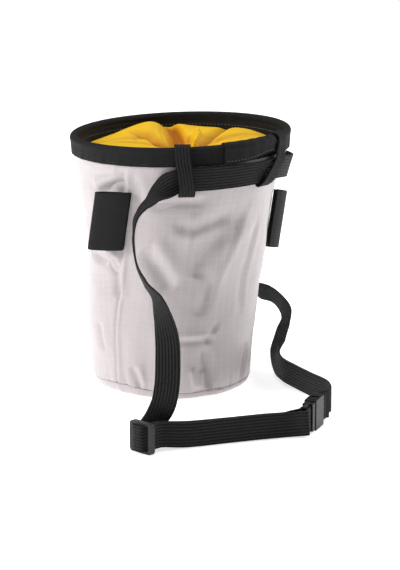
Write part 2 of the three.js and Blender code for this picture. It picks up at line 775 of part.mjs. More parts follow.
// Rows along the surface, the webbing on its lower edge
const floorRows = [
  { turn: 55.6, out: 0.428 },
  { turn: 42.2, out: 0.491 },
  { turn: 31.8, out: 0.591 },
  { turn: 25.9, out: 0.685 },
  { turn: 21.6, out: 0.736 },
  { turn: 17.4, out: 0.775 },
];

// Rows of the two layers between the slider and the buckle
const doubleRows = [
  { turn: -28.3, out: 0.94 },
  { turn: -18.8, out: 0.908 },
  { turn: -10.1, out: 0.902 },
  { turn: -4, out: 0.915 },
];

const upright = (p) => ({ p, w: upward });

function freeStation(row) {
  const p = unit(row.turn).multiplyScalar(beltReach * row.out);
  p.z = bagHeight * row.up;
  const w = unit(row.edge).multiplyScalar(Math.cos(row.rise * deg));
  w.z = Math.sin(row.rise * deg);
  return { p, w };
}

function flatStation(row, inward, height) {
  const p = unit(row.turn).multiplyScalar(beltReach * row.out - inward);
  p.z = height;
  return upright(p);
}

function bagStation(row) {
  const z = beltZ - bagHeight * row.drop;
  return { p: onBag(row.turn, z, beltProud + row.proud * beltThick), w: leanAt(row.turn, z) };
}

// The sewn end wraps the slider's middle bar and the running strap passes over it.
// along and across are shares of how far a layer stands off the bar it goes round
const tight = beltThick / 2 + sewnGap;
const pitch = beltThick + sewnGap;
const sewnWrap = [
  { along: -1.36, across: -4.24 },
  { along: -1.18, across: -2.35 },
  { along: -1.04, across: -0.98 },
  { along: -1, across: 0 },
  { along: -0.87, across: 0.96 },
  { along: 0, across: 1.04 },
  { along: 0.87, across: 0.96 },
  { along: 1, across: 0 },
  { along: 0.96, across: -0.86 },
  { along: 0.11, across: -1.8 },
  { along: -0.38, across: -2.8 },
  { along: -0.6, across: -4.24 },
];
const runWrap = [
  { along: -1.23, across: -2.6 },
  { along: -1.13, across: -1.45 },
  { along: -1.065, across: -0.6 },
  { along: -1, across: 0 },
  { along: -0.82, across: 0.88 },
  { along: 0, across: 1.02 },
  { along: 0.82, across: 0.88 },
  { along: 1, across: 0 },
  { along: 1.05, across: -1.01 },
];
const barWrap = [
  { along: -2.5, across: 1.7 },
  { along: -1.25, across: 1 },
  { along: 0, across: 1 },
  { along: 0.75, across: 0.75 },
  { along: 1, across: 0 },
  { along: 0.75, across: -0.75 },
  { along: 0, across: -1 },
  { along: -1.25, across: -1 },
  { along: -2.5, across: -1.5 },
];

function onSlider(rows, layer) {
  const side = sliderBar / 2 + tight + layer * pitch;
  const face = sliderThick / 2 + tight + layer * pitch;
  return rows.map((row) => upright(sliderPlace.at(row.along * side, row.across * face)));
}

function onBar(barAt, sense) {
  const off = buckleBar / 2 + tight + barEase;
  return barWrap.map((row) => upright(bucklePlace.at(barAt + sense * row.along * off, row.across * off)));
}

// The layers lie apart near the slider, where the sewn end makes them thicker
function beltStations() {
  const height = beltWidth / 2 + beltRest;
  const inward = (i) => (i === 0 ? 2 * pitch : layerPitch);
  return [
    ...onSlider(sewnWrap, 0),
    ...doubleRows.map((row, i) => flatStation(row, inward(i), height)),
    ...onBar(0, 1),
    ...doubleRows.map((row) => flatStation(row, 0, height)).reverse(),
    ...onSlider(runWrap, 1),
    ...fallRows.map(freeStation),
    ...bagRows.map(bagStation),
    ...returnRows.map(freeStation),
    ...floorRows.map((row, i) => flatStation(row, 0, beltWidth / 2 + i * floorRise)),
    ...onBar(femaleBarAt, -1),
  ];
}
add('belt_webbing', ribbon(beltStations(), beltWidth, beltThick), webbingLook);

export default group;
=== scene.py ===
"""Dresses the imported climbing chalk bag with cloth, webbing, moulded plastic and stitches.

Shapes are worked out in millimetres and made in metres. +Z is up and the origin lies under the
middle of the base. A turn is an angle about Z: 0 faces the wearer (-Y), and it grows towards +X.
"""
import logging
import math
from dataclasses import dataclass, field
from enum import Enum
from typing import Callable, NamedTuple, Sequence, Union

import bmesh
import bpy
import numpy as np
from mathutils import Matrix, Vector, noise


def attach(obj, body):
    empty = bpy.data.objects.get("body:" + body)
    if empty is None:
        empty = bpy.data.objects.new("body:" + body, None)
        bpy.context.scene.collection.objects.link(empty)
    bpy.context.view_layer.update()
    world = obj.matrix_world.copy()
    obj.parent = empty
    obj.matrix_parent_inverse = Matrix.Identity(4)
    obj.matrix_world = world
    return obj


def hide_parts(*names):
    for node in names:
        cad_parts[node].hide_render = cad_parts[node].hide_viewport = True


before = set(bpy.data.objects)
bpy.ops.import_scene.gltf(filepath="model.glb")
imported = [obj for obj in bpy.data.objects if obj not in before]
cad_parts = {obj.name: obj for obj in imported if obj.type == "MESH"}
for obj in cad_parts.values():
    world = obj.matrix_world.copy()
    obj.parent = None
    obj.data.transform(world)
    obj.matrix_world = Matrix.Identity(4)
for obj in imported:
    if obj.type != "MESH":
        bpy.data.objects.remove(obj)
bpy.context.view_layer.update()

MM = 0.001
WHITE = (1, 1, 1, 1)
log = logging.getLogger("chalk_bag")

# Points closer than this, in metres, become one. The middle of a disc has a ring of them.
MERGE = 1e-6
MIDDLE_MERGE = 2e-5
STRAP_MERGE = 1e-7

# A strap's edges are rounded where its faces meet at more than this many degrees
EDGE_ANGLE = 50

Color = tuple[float, float, float, float]
Given = Union[bpy.types.NodeSocket, float, Color]
Place = Callable[[np.ndarray, np.ndarray], np.ndarray]


class Slot(Enum):
    """Material slots of the record."""

    RIPSTOP = "ripstop_cloth"
    BINDING = "binding_tape"
    LINER = "liner_cloth"
    WEBBING = "webbing"
    ELASTIC = "elastic"
    PLASTIC = "moulded_plastic"


class Side(Enum):
    """Sides of the bag, as the wearer's front is seen."""

    LEFT = -1
    RIGHT = 1


# Tables of the bag's shape, with the columns that the rows name


class Section(NamedTuple):
    """A level of the body: shares of height, flare, rim shift and slack."""

    up: float
    flare: float
    shift: float
    slack: float


class Dent(NamedTuple):
    """A hollow of the slack cloth: degrees, and shares of height and base radius."""

    turn: float
    up: float
    wide: float
    tall: float
    depth: float


class Hem(NamedTuple):
    """The seam between body and base: shares of the hem's height and of the base's tuck."""

    turn: float
    lift: float
    tuck: float


class Crease(NamedTuple):
    """A fold line through (turn, share of height) spots, deep and wide in millimetres.

    A ridge has a negative depth. lip is the share of the depth that stands up on its left.
    """

    depth: float
    width: float
    lip: float
    path: tuple[tuple[float, float], ...]


class Puff(NamedTuple):
    """A rounded lobe of the closure, in millimetres in the viewer's plan."""

    x: float
    y: float
    wide: float
    deep: float
    rise: float


class Fold(NamedTuple):
    """A fold line of the closure through plan spots: depth and the widths of its two flanks."""

    depth: float
    left: float
    right: float
    path: tuple[tuple[float, float], ...]


class Level(NamedTuple):
    """The closure's height over its edge at a distance from its middle, in millimetres."""

    reach: float
    rise: float


class Wave(NamedTuple):
    """An even wave round the bag: how many there are, how high, and its phase in radians."""

    count: float
    height: float
    phase: float


class Unevenness(NamedTuple):
    """A seeded crumple of the cloth: depth and pitch in millimetres."""

    depth: float
    pitch: float
    seed: float


class SleeveRow(NamedTuple):
    """A row of the folded elastic: shares of its reach and of the distance between its layers."""

    along: float
    proud: float


class LoopRow(NamedTuple):
    """A row of a belt loop: millimetres off the cloth, height and share of the lean."""

    away: float
    z: float
    share: float


class Free(NamedTuple):
    """A belt row away from the bag: shares of reach and height, and its upper edge's heading."""

    turn: float
    out: float
    up: float
    edge: float
    rise: float


class OnBag(NamedTuple):
    """A belt row on the bag: belt thicknesses past the loops, and a share of the height."""

    turn: float
    proud: float
    drop: float


class Flat(NamedTuple):
    """A belt row that stands on the surface: a share of the belt's reach."""

    turn: float
    out: float


class Wrap(NamedTuple):
    """A belt row round a bar: shares of how far a layer stands off it."""

    along: float
    across: float


SECTIONS = (
    Section(0, -0.04, -0.05, 1),
    Section(0.055, 0.04, -0.13, 1),
    Section(0.122, 0.09, -0.19, 1),
    Section(0.257, 0.22, -0.2, 1),
    Section(0.39, 0.28, 0.04, 1),
    Section(0.53, 0.4, 0.42, 1),
    Section(0.64, 0.49, 0.5, 1),
    Section(0.76, 0.65, 0.55, 1),
    Section(0.82, 0.77, 0.7, 1),
    Section(0.887, 0.93, 0.9, 0.5),
    Section(0.923, 1, 1, 0),
    Section(1, 1, 1, 0),
)

DENTS = (
    Dent(-26, 0.56, 13, 0.1, 0.05),
    Dent(-2, 0.62, 11, 0.07, -0.02),
    Dent(8, 0.42, 16, 0.1, 0.034),
    Dent(-5, 0.13, 5, 0.08, 0.05),
    Dent(9, 0.1, 7, 0.06, -0.024),
    Dent(-20, 0.1, 6, 0.06, -0.02),
    Dent(-47, 0.14, 6, 0.09, 0.036),
    Dent(-44, 0.45, 8, 0.16, -0.022),
    Dent(-84, 0.84, 12, 0.035, 0.03),
    Dent(-78, 0.45, 9, 0.04, 0.022),
    Dent(-92, 0.28, 14, 0.12, -0.024),
    Dent(44, 0.36, 10, 0.14, -0.02),
    Dent(88, 0.42, 15, 0.1, 0.04),
    Dent(120, 0.62, 17, 0.1, -0.026),
    Dent(150, 0.3, 15, 0.11, 0.044),
    Dent(178, 0.55, 16, 0.13, 0.04),
    Dent(-155, 0.24, 13, 0.1, -0.026),
    Dent(-128, 0.5, 14, 0.12, 0.036),
)

HEMS = (
    Hem(-160, 1.2, 0.7),
    Hem(-122, 1.25, 0.8),
    Hem(-92, 1.7, 1.2),
    Hem(-70, 1.85, 1.3),
    Hem(-52, 1.4, 0.75),
    Hem(-36, 1.1, 0.4),
    Hem(-20, 1, 0.4),
    Hem(0, 1, 0.6),
    Hem(20, 1.1, 0.85),
    Hem(58, 1.15, 0.8),
    Hem(110, 1, 0.5),
    Hem(160, 1.1, 0.6),
)

CREASES = (
    Crease(1.6, 2.4, 0.7, ((-46, 0.765), (-30, 0.783), (-14, 0.783))),
    Crease(3.8, 3.0, 0.7, ((-86, 0.79), (-74.5, 0.82), (-68.5, 0.835), (-61, 0.86))),
    Crease(1.2, 2.0, 0.6, ((-92, 0.87), (-80, 0.89), (-70, 0.9))),
    Crease(1.0, 2.2, 0.6, ((-58, 0.9), (-54, 0.82), (-55, 0.72))),
    Crease(3.0, 2.8, 0.5, ((-102, 0.55), (-83.5, 0.538), (-75, 0.526), (-68, 0.5))),
    Crease(2.4, 2.6, 0.5, ((-79.5, 0.526), (-73, 0.492), (-70, 0.38))),
    Crease(3.4, 6.5, 0.45, ((12, 0.74), (-1, 0.673), (-11.5, 0.593), (-18, 0.48))),
    Crease(2.2, 3.4, 0.5, ((4, 0.73), (-10, 0.7), (-22, 0.68), (-34, 0.7))),
    Crease(-1.5, 3.2, 0.0, ((-19, 0.74), (-22.5, 0.618), (-24, 0.48))),
    Crease(3.0, 4.4, 0.4, ((-52, 0.6), (-41, 0.511), (-33, 0.43))),
    Crease(1.6, 3.5, 0.5, ((-12, 0.52), (-8, 0.42), (-14, 0.33))),
    Crease(1.2, 1.8, 0.6, ((-30, 0.235), (-14.5, 0.232), (2, 0.229))),
    Crease(1.2, 1.8, 0.4, ((1, 0.3), (-6, 0.215))),
    Crease(2.0, 2.6, 0.4, ((-7, 0.2), (-3, 0.11), (-3, 0.035))),
    Crease(-1.2, 1.7, 0.0, ((-17, 0.125), (-14, 0.035))),
    Crease(-1.2, 1.7, 0.0, ((-8, 0.11), (-10, 0.035))),
    Crease(1.8, 2.6, 0.5, ((-87, 0.28), (-85, 0.17))),
    Crease(1.4, 2.4, 0.5, ((35, 0.18), (29, 0.04))),
    Crease(0.7, 2.2, 0.6, ((16, 0.78), (2.5, 0.584), (-11, 0.38))),
    Crease(0.8, 2.4, 0.6, ((28, 0.7), (20, 0.5), (22, 0.3))),
    Crease(1.4, 2.2, 0.5, ((-60, 0.125), (-54, 0.035))),
    Crease(2.0, 4.0, 0.4, ((108, 0.8), (125, 0.7), (141, 0.54))),
    Crease(1.6, 3.0, 0.4, ((163, 0.35), (178, 0.3), (192, 0.34))),
    Crease(2.0, 4.0, 0.4, ((-108, 0.72), (-125, 0.63), (-142, 0.6))),
    Crease(1.4, 2.2, 0.4, ((149, 0.16), (155, 0.045))),
    Crease(1.5, 2.6, 0.4, ((-152, 0.85), (-168, 0.81), (-184, 0.83))),
    Crease(1.6, 3.0, 0.4, ((84, 0.62), (93, 0.5), (97, 0.4))),
    Crease(1.2, 2.6, 0.5, ((-118, 0.42), (-130, 0.3), (-126, 0.16))),
    Crease(1.2, 3.0, 0.5, ((132, 0.5), (140, 0.36), (134, 0.22))),
)

PUFFS = (
    Puff(-17, 41, 15, 14, 7.0),
    Puff(12, 46, 14, 10, 0.6),
    Puff(36, 30, 13, 13, 2.4),
    Puff(44, -2, 14, 9, 1.4),
    Puff(-38, 4, 15, 12, 1.6),
    Puff(-26, -34, 15, 12, 3.4),
    Puff(6, -42, 14, 11, 3.0),
    Puff(34, -32, 12, 11, 3.2),
)

FOLDS = (
    Fold(5.6, 2.2, 5.5, ((-9, 58), (-6, 47), (-1, 29), (1.5, 13), (2.5, 4))),
    Fold(-4.4, 1.9, 2.2, ((9.5, 28), (11.5, 17), (7, 7))),
    Fold(3.0, 1.8, 2.2, ((5.5, 27), (7, 15), (5, 7))),
    Fold(3.4, 3.4, 1.7, ((6, 3), (15, 13), (23, 24), (31, 42), (37, 56))),
    Fold(3.4, 3.0, 1.5, ((8, -1), (20, 5), (38, 7), (60, 5))),
    Fold(2.0, 2.2, 1.3, ((8, 1), (22, 12), (40, 17), (58, 16))),
    Fold(2.2, 2.0, 1.3, ((9, -3), (24, -4), (42, -7), (58, -10))),
    Fold(3.2, 2.6, 1.6, ((-25, 23), (-14, 10), (-3, 3))),
    Fold(2.2, 2.2, 1.4, ((-34, 30), (-17, 17), (-3, 6))),
    Fold(2.4, 4.0, 2.2, ((-56, 3), (-38, 12), (-22, 19))),
    Fold(2.2, 1.8, 1.4, ((-46, -2), (-24, 3), (-5, 1))),
    Fold(3.4, 1.9, 1.6, ((-18, 10), (-9, 5))),
    Fold(4.4, 2.4, 3.6, ((-2, -2), (-16, -18), (-36, -24), (-56, -22))),
    Fold(2.2, 1.6, 2.0, ((-2, -4), (-14, -26), (-30, -42))),
    Fold(4.6, 3.2, 2.2, ((1, -4), (-5, -24), (-4, -44), (-8, -60))),
    Fold(2.4, 1.6, 2.0, ((3, -5), (5, -24), (10, -44))),
    Fold(4.2, 2.2, 3.4, ((5, -4), (16, -20), (22, -40), (24, -58))),
    Fold(3.2, 2.4, 2.4, ((8, -3), (28, -14), (46, -26), (54, -32))),
)

CLOSURE_LEVELS = (
    Level(0, -1.6),
    Level(5, -1.2),
    Level(12, 0),
    Level(24, 2.0),
    Level(38, 3.4),
    Level(50, 3.4),
    Level(58, 2.4),
    Level(62, 1.0),
    Level(64, 0),
)

PUCKER_WAVES = (Wave(23, 1, 0), Wave(41, 0.7, 1.3), Wave(67, 0.5, 0.4))
SLOW_WAVES = (Wave(5, 0.4, 0.8),)
TAPE_WAVES = (Wave(37, 1, 0), Wave(61, 1, 1), Wave(22, 1, 0))
GATHER_WAVES = (Wave(17, 1, 0), Wave(29, 0.8, 1.1), Wave(43, 0.5, 0.3))
CRUMPLES = (Unevenness(0.35, 19, 3), Unevenness(0.2, 8, 9))

SLEEVE_ROWS = (
    SleeveRow(0.02, 0),
    SleeveRow(0.25, -0.1),
    SleeveRow(0.55, -0.25),
    SleeveRow(0.85, -0.12),
    SleeveRow(0.96, 0.2),
    SleeveRow(1, 0.5),
    SleeveRow(0.96, 0.8),
    SleeveRow(0.85, 1.1),
    SleeveRow(0.55, 1.2),
    SleeveRow(0.25, 1.0),
    SleeveRow(0.02, 0.5),
)

FALL_ROWS = (
    Free(-36.9, 0.942, 0.073, -80, 47),
    Free(-35.3, 0.918, 0.101, -94, 27),
    Free(-33.6, 0.894, 0.147, -115, 6),
    Free(-32.8, 0.855, 0.203, -122, 0),
    Free(-32.6, 0.806, 0.28, -128, 0),
    Free(-32.9, 0.758, 0.357, -148, 0),
    Free(-34.3, 0.716, 0.428, -172, 0),
    Free(-36.4, 0.681, 0.487, -186, 0),
    Free(-40.2, 0.649, 0.539, -197, 0),
    Free(-43.4, 0.618, 0.594, -206, 0),
    Free(-45.6, 0.577, 0.672, -212, 1),
    Free(-46, 0.53, 0.739, -212, 3),
    Free(-44.5, 0.489, 0.777, -212, 7),
    Free(-40.8, 0.455, 0.81, -212, 16),
    Free(-36.4, 0.431, 0.842, -212, 46),
)

BAG_ROWS = (
    OnBag(-33.2, 0.05, 0.003),
    OnBag(-24, 0, 0),
    OnBag(-12, 0, 0),
    OnBag(9, 0, 0),
    OnBag(30.7, 0, 0),
    OnBag(48, 0.6, 0.016),
    OnBag(62, 1.2, 0.03),
    OnBag(80, 1.6, 0.039),
)

RETURN_ROWS = (
    Free(100, 0.455, 0.8, -80, 76),
    Free(116, 0.47, 0.745, -64, 50),
    Free(128, 0.49, 0.67, -52, 20),
    Free(134, 0.51, 0.57, -46, 0),
    Free(132, 0.515, 0.465, -48, 0),
    Free(124, 0.5, 0.375, -56, 8),
    Free(113, 0.482, 0.315, -67, 30),
    Free(102, 0.471, 0.284, -77, 57),
    Free(95.5, 0.493, 0.273, -47, 55),
    Free(90.3, 0.511, 0.242, -20, 44),
    Free(86.8, 0.516, 0.205, -6, 38),
    Free(84.5, 0.489, 0.156, -6.5, 12),
    Free(80.2, 0.449, 0.094, -8, 9),
    Free(69.7, 0.418, 0.053, -10, 57),
)

FLOOR_ROWS = (
    Flat(55.6, 0.428),
    Flat(42.2, 0.491),
    Flat(31.8, 0.591),
    Flat(25.9, 0.685),
    Flat(21.6, 0.736),
    Flat(17.4, 0.775),
)

DOUBLE_ROWS = (
    Flat(-28.3, 0.94),
    Flat(-18.8, 0.908),
    Flat(-10.1, 0.902),
    Flat(-4, 0.915),
)

SEWN_WRAP = (
    Wrap(-1.36, -4.24),
    Wrap(-1.18, -2.35),
    Wrap(-1.04, -0.98),
    Wrap(-1, 0),
    Wrap(-0.87, 0.96),
    Wrap(0, 1.04),
    Wrap(0.87, 0.96),
    Wrap(1, 0),
    Wrap(0.96, -0.86),
    Wrap(0.11, -1.8),
    Wrap(-0.38, -2.8),
    Wrap(-0.6, -4.24),
)

RUN_WRAP = (
    Wrap(-1.23, -2.6),
    Wrap(-1.13, -1.45),
    Wrap(-1.065, -0.6),
    Wrap(-1, 0),
    Wrap(-0.82, 0.88),
    Wrap(0, 1.02),
    Wrap(0.82, 0.88),
    Wrap(1, 0),
    Wrap(1.05, -1.01),
)

BAR_WRAP = (
    Wrap(-2.5, 1.7),
    Wrap(-1.25, 1),
    Wrap(0, 1),
    Wrap(0.75, 0.75),
    Wrap(1, 0),
    Wrap(0.75, -0.75),
    Wrap(0, -1),
    Wrap(-1.25, -1),
    Wrap(-2.5, -1.5),
)


# Small maths


def unit(turn: np.ndarray | float) -> np.ndarray:
    """Level direction of a turn in degrees."""
    angle = np.radians(turn)
    return np.stack([np.sin(angle), -np.cos(angle), np.zeros_like(angle)], axis=-1)


def bell(x: np.ndarray) -> np.ndarray:
    """Bell curve of height 1."""
    return np.exp(-0.5 * x * x)


def wrapped(turn: np.ndarray | float) -> np.ndarray:
    """Turn brought between -180 and 180 degrees."""
    return (np.asarray(turn) + 180) % 360 - 180


def between(keys: Sequence[float], values: Sequence[float], at: np.ndarray | float) -> np.ndarray:
    """Smooth value between the rows of a sorted table.

    Args:
        keys: Sorted places of the rows.
        values: Values of the rows.
        at: Places to read.

    Returns:
        The values at those places.
    """
    keys, values = np.asarray(keys, float), np.asarray(values, float)
    at = np.clip(at, keys[0], keys[-1])
    row = np.clip(np.searchsorted(keys, at, side="right") - 1, 0, len(keys) - 2)
    before, after = np.maximum(row - 1, 0), np.minimum(row + 2, len(keys) - 1)
    span = keys[row + 1] - keys[row]
    start_slope = (values[row + 1] - values[before]) / (keys[row + 1] - keys[before])
    end_slope = (values[after] - values[row]) / (keys[after] - keys[row])
    share = (at - keys[row]) / span
    low = values[row] * (1 + 2 * share) * (1 - share) ** 2 + start_slope * span * share * (1 - share) ** 2
    high = values[row + 1] * share * share * (3 - 2 * share)
    return low + high + end_slope * span * share * share * (share - 1)


def around(turns: Sequence[float], values: Sequence[float], turn: np.ndarray | float) -> np.ndarray:
    """Smooth value round the bag between rows sorted by turn."""
    laps = [place - 360 for place in turns[-2:]] + list(turns) + [place + 360 for place in turns[:2]]
    full = list(values[-2:]) + list(values) + list(values[:2])
    return between(laps, full, wrapped(turn))


def line_offset(x: np.ndarray, y: np.ndarray, path: np.ndarray) -> tuple[np.ndarray, np.ndarray]:
    """Signed distance to a line and how far along it the nearest spot lies.

    Args:
        x: First plan coordinate of the points.
        y: Second plan coordinate of the points.
        path: Corners of the line.

    Returns:
        The distance, which is positive on the line's left, and the share along the line.
    """
    lengths = np.linalg.norm(np.diff(path, axis=0), axis=1)
    starts = np.concatenate([[0], np.cumsum(lengths)])
    best = np.full(x.shape, np.inf)
    signed, share = np.zeros(x.shape), np.zeros(x.shape)
    for i, length in enumerate(lengths):
        ahead = (path[i + 1] - path[i]) / length
        dx, dy = x - path[i][0], y - path[i][1]
        along = np.clip(dx * ahead[0] + dy * ahead[1], 0, length)
        off_x, off_y = dx - along * ahead[0], dy - along * ahead[1]
        away = np.hypot(off_x, off_y)
        near = away < best
        left = np.where(ahead[0] * dy - ahead[1] * dx >= 0, 1.0, -1.0)
        best = np.where(near, away, best)
        signed = np.where(near, away * left, signed)
        share = np.where(near, (starts[i] + along) / starts[-1], share)
    return signed, share


def rounded(path: Sequence[Sequence[float]], parts: int = 6) -> np.ndarray:
    """The path with smooth curves through its spots, cut into short parts."""
    spots = np.asarray(path, float)
    marks = np.arange(len(spots))
    fine = np.linspace(0, len(spots) - 1, (len(spots) - 1) * parts + 1)
    return np.stack([between(marks, spots[:, k], fine) for k in range(spots.shape[1])], axis=-1)


def lengths_along(points: np.ndarray) -> np.ndarray:
    """How far along a line each of its points lies."""
    steps = np.linalg.norm(np.diff(points, axis=0), axis=1)
    return np.concatenate([[0], np.cumsum(steps)])


def swell(angle: np.ndarray, waves: Sequence[Wave]) -> np.ndarray:
    """Sum of even waves at angles in radians."""
    return sum(wave.height * np.sin(wave.count * angle + wave.phase) for wave in waves)


def pace(start: np.ndarray, end: np.ndarray) -> np.ndarray:
    """Share of a curve's time between two stations: the root of their distance."""
    return np.sqrt(np.linalg.norm(end - start, axis=1))[:, None]


def crumple(points: np.ndarray, pitch: float, seed: float) -> np.ndarray:
    """Smooth seeded unevenness from -1 to 1 at each point, with waves of that pitch."""
    shift = Vector((seed, -seed, 0.5 * seed))
    return np.array([noise.noise(Vector(p) / pitch + shift) for p in points])


# The bag's shape


@dataclass(frozen=True)
class BagShape:
    """Sizes of the bag in millimetres, and places on it."""

    height: float = 163.5
    rim_radius: float = 70
    base_radius: float = 50
    wall: float = 1.4
    gap: float = 0.3
    rim_shift: float = 5.2
    rim_rise: float = 2.3
    side_turn: float = 58
    binding_height: float = 12
    binding_inset: float = 1
    binding_leg: float = 1.35
    roll_radius: float = 2.5
    roll_depth: float = 5.2
    hem_height: float = 4
    seam_ridge: float = 1
    seam_width: float = 2.6
    seam_top: float = 59
    seam_slant: float = 14
    belt_up: float = 0.877

    @property
    def inside_rim(self) -> float:
        """Radius of the cloth inside the rim binding."""
        return self.rim_radius - self.binding_leg - self.gap - self.binding_inset

    @property
    def mean_radius(self) -> float:
        """Radius half-way between base and rim."""
        return 0.5 * (self.base_radius + self.inside_rim)

    @property
    def slot_out(self) -> float:
        """How far the binding's slot starts inside the rim."""
        return self.rim_radius - self.inside_rim - self.gap

    @property
    def slot_in(self) -> float:
        """How far the binding's slot ends inside the rim."""
        return self.rim_radius - self.inside_rim + self.wall + self.gap

    @property
    def liner_radius(self) -> float:
        """Radius of the closure's edge."""
        return self.rim_radius - self.slot_in - self.binding_leg - self.gap

    @property
    def belt_z(self) -> float:
        """Height of the belt's middle on the bag."""
        return self.height * self.belt_up

    def lifted(self, points: np.ndarray) -> np.ndarray:
        """Points raised with the rim's slant, which fades downwards."""
        share = points @ unit(self.side_turn) / self.rim_radius
        points[..., 2] += self.rim_rise * share * (points[..., 2] / self.height) ** 3
        return points

    def seam_turn(self, z: np.ndarray | float) -> np.ndarray:
        """Turn of the right side seam at a height."""
        return self.seam_top + self.seam_slant * (1 - np.asarray(z) / self.height)

    def column(self, name: str, z: np.ndarray | float) -> np.ndarray:
        """A column of the sections at a height."""
        ups = [row.up for row in SECTIONS]
        return between(ups, [getattr(row, name) for row in SECTIONS], np.asarray(z) / self.height)

    def radius(self, turn: np.ndarray | float, z: np.ndarray | float) -> np.ndarray:
        """Radius of the body with its seam ridges and dents."""
        turn, z = np.broadcast_arrays(np.asarray(turn, float), np.asarray(z, float))
        up = z / self.height
        out = self.base_radius + (self.inside_rim - self.base_radius) * self.column("flare", z)
        calm = self.column("slack", z)
        for side in Side:
            away = np.radians(wrapped(turn - side.value * self.seam_turn(z))) * out
            out = out + calm * self.seam_ridge * bell(2 * away / self.seam_width)
        for dent in DENTS:
            here = bell(wrapped(turn - dent.turn) / dent.wide) * bell((up - dent.up) / dent.tall)
            out = out - calm * dent.depth * self.base_radius * here
        return out

    def on_bag(self, turn: np.ndarray | float, z: np.ndarray | float,
               proud: np.ndarray | float = 0) -> np.ndarray:
        """Points on the body's outside, or proud of it."""
        turn, z, proud = np.broadcast_arrays(*(np.asarray(value, float) for value in (turn, z, proud)))
        points = unit(turn) * (self.radius(turn, z) + proud)[..., None]
        points = points + unit(self.side_turn) * (self.rim_shift * self.column("shift", z))[..., None]
        points[..., 2] = z
        return self.lifted(points)

    def at_rim(self, turn: np.ndarray | float, radius: np.ndarray | float,
               z: np.ndarray | float) -> np.ndarray:
        """Points at a radius about the rim's own middle."""
        turn, radius, z = np.broadcast_arrays(*(np.asarray(value, float) for value in (turn, radius, z)))
        points = unit(turn) * radius[..., None] + unit(self.side_turn) * self.rim_shift
        points[..., 2] = z
        return self.lifted(points)

    def hem_top(self, turn: np.ndarray | float) -> np.ndarray:
        """Height of the seam between body and base."""
        return self.hem_height * around([hem.turn for hem in HEMS], [hem.lift for hem in HEMS], turn)

    def rim_spot(self, turn: np.ndarray, out: np.ndarray, down: np.ndarray) -> np.ndarray:
        """Points by how far they lie inside the rim and below its top."""
        return self.at_rim(turn, self.rim_radius - out, self.height - down)


# Meshes from sketches that operators make and the code then moves


def new_object(name: str, data: bpy.types.ID) -> bpy.types.Object:
    """A new object in the scene."""
    made = bpy.data.objects.new(name, data)
    bpy.context.scene.collection.objects.link(made)
    return made


def spun_sketch(levels: int, laps: int, closed: bool) -> bmesh.types.BMesh:
    """A profile of numbered levels, carried once round Z.

    Args:
        levels: How many levels the profile has. The sketch's Z is the level's number.
        laps: Steps of the turn.
        closed: Whether the last level joins the first.

    Returns:
        The sketch.
    """
    sketch = bmesh.new()
    verts = [sketch.verts.new((0, -1, level)) for level in range(levels)]
    pairs = list(zip(verts, verts[1:])) + ([(verts[-1], verts[0])] if closed else [])
    edges = [sketch.edges.new(pair) for pair in pairs]
    bmesh.ops.spin(sketch, geom=verts + edges, cent=(0, 0, 0), axis=(0, 0, 1), dvec=(0, 0, 0),
                   angle=2 * math.pi, steps=laps, use_merge=True, use_duplicate=False)
    return sketch


def grid_sketch(across: int, along: int) -> bmesh.types.BMesh:
    """A grid whose X and Y run from 0 to 1."""
    sketch = bmesh.new()
    bmesh.ops.create_grid(sketch, x_segments=across, y_segments=along, size=0.5)
    bmesh.ops.translate(sketch, verts=sketch.verts, vec=(0.5, 0.5, 0))
    return sketch


def corner_values(mesh: bpy.types.Mesh, values: np.ndarray) -> np.ndarray:
    """Values of the vertices, given to each face corner."""
    ids = np.empty(len(mesh.loops), int)
    mesh.loops.foreach_get("vertex_index", ids)
    return values[ids]


def face_starts(mesh: bpy.types.Mesh) -> np.ndarray:
    """For each face corner, the number of its face's first corner."""
    starts, totals = np.empty(len(mesh.polygons), int), np.empty(len(mesh.polygons), int)
    mesh.polygons.foreach_get("loop_start", starts)
    mesh.polygons.foreach_get("loop_total", totals)
    return np.repeat(starts, totals)


def flatten(mesh: bpy.types.Mesh, first: np.ndarray, second: np.ndarray) -> None:
    """Writes a cut pattern in millimetres as the mesh's UV."""
    layer = mesh.uv_layers.new(name="cut")
    layer.data.foreach_set("uv", np.stack([first, second], axis=-1).astype(np.float32).ravel())


def piece_from(name: str, sketch: bmesh.types.BMesh, place: Place, cut: Place,
               spun: bool) -> bpy.types.Object:
    """Makes a piece from a sketch.

    Args:
        name: Name of the piece.
        sketch: The sketch, which is used up.
        place: Gives points in millimetres from the sketch's two coordinates.
        cut: Gives flat pattern coordinates in millimetres from the same two.
        spun: Whether the coordinates are turn and level, or a grid's X and Y.

    Returns:
        The piece, in metres.
    """
    mesh = bpy.data.meshes.new(name)
    bmesh.ops.recalc_face_normals(sketch, faces=sketch.faces)
    sketch.to_mesh(mesh)
    sketch.free()
    spots = np.empty(3 * len(mesh.vertices))
    mesh.vertices.foreach_get("co", spots)
    spots = spots.reshape(-1, 3)
    if spun:
        first, second = np.degrees(np.arctan2(spots[:, 0], -spots[:, 1])), np.rint(spots[:, 2])
    else:
        first, second = spots[:, 0], spots[:, 1]
    mesh.vertices.foreach_set("co", (place(first, second) * MM).ravel())
    corner_first, corner_second = corner_values(mesh, first), corner_values(mesh, second)
    if spun:
        base = corner_first[face_starts(mesh)]
        corner_first = base + wrapped(corner_first - base)
    pattern = cut(corner_first, corner_second)
    flatten(mesh, pattern[:, 0], pattern[:, 1])
    piece = new_object(name, mesh)
    mesh.update()
    return piece


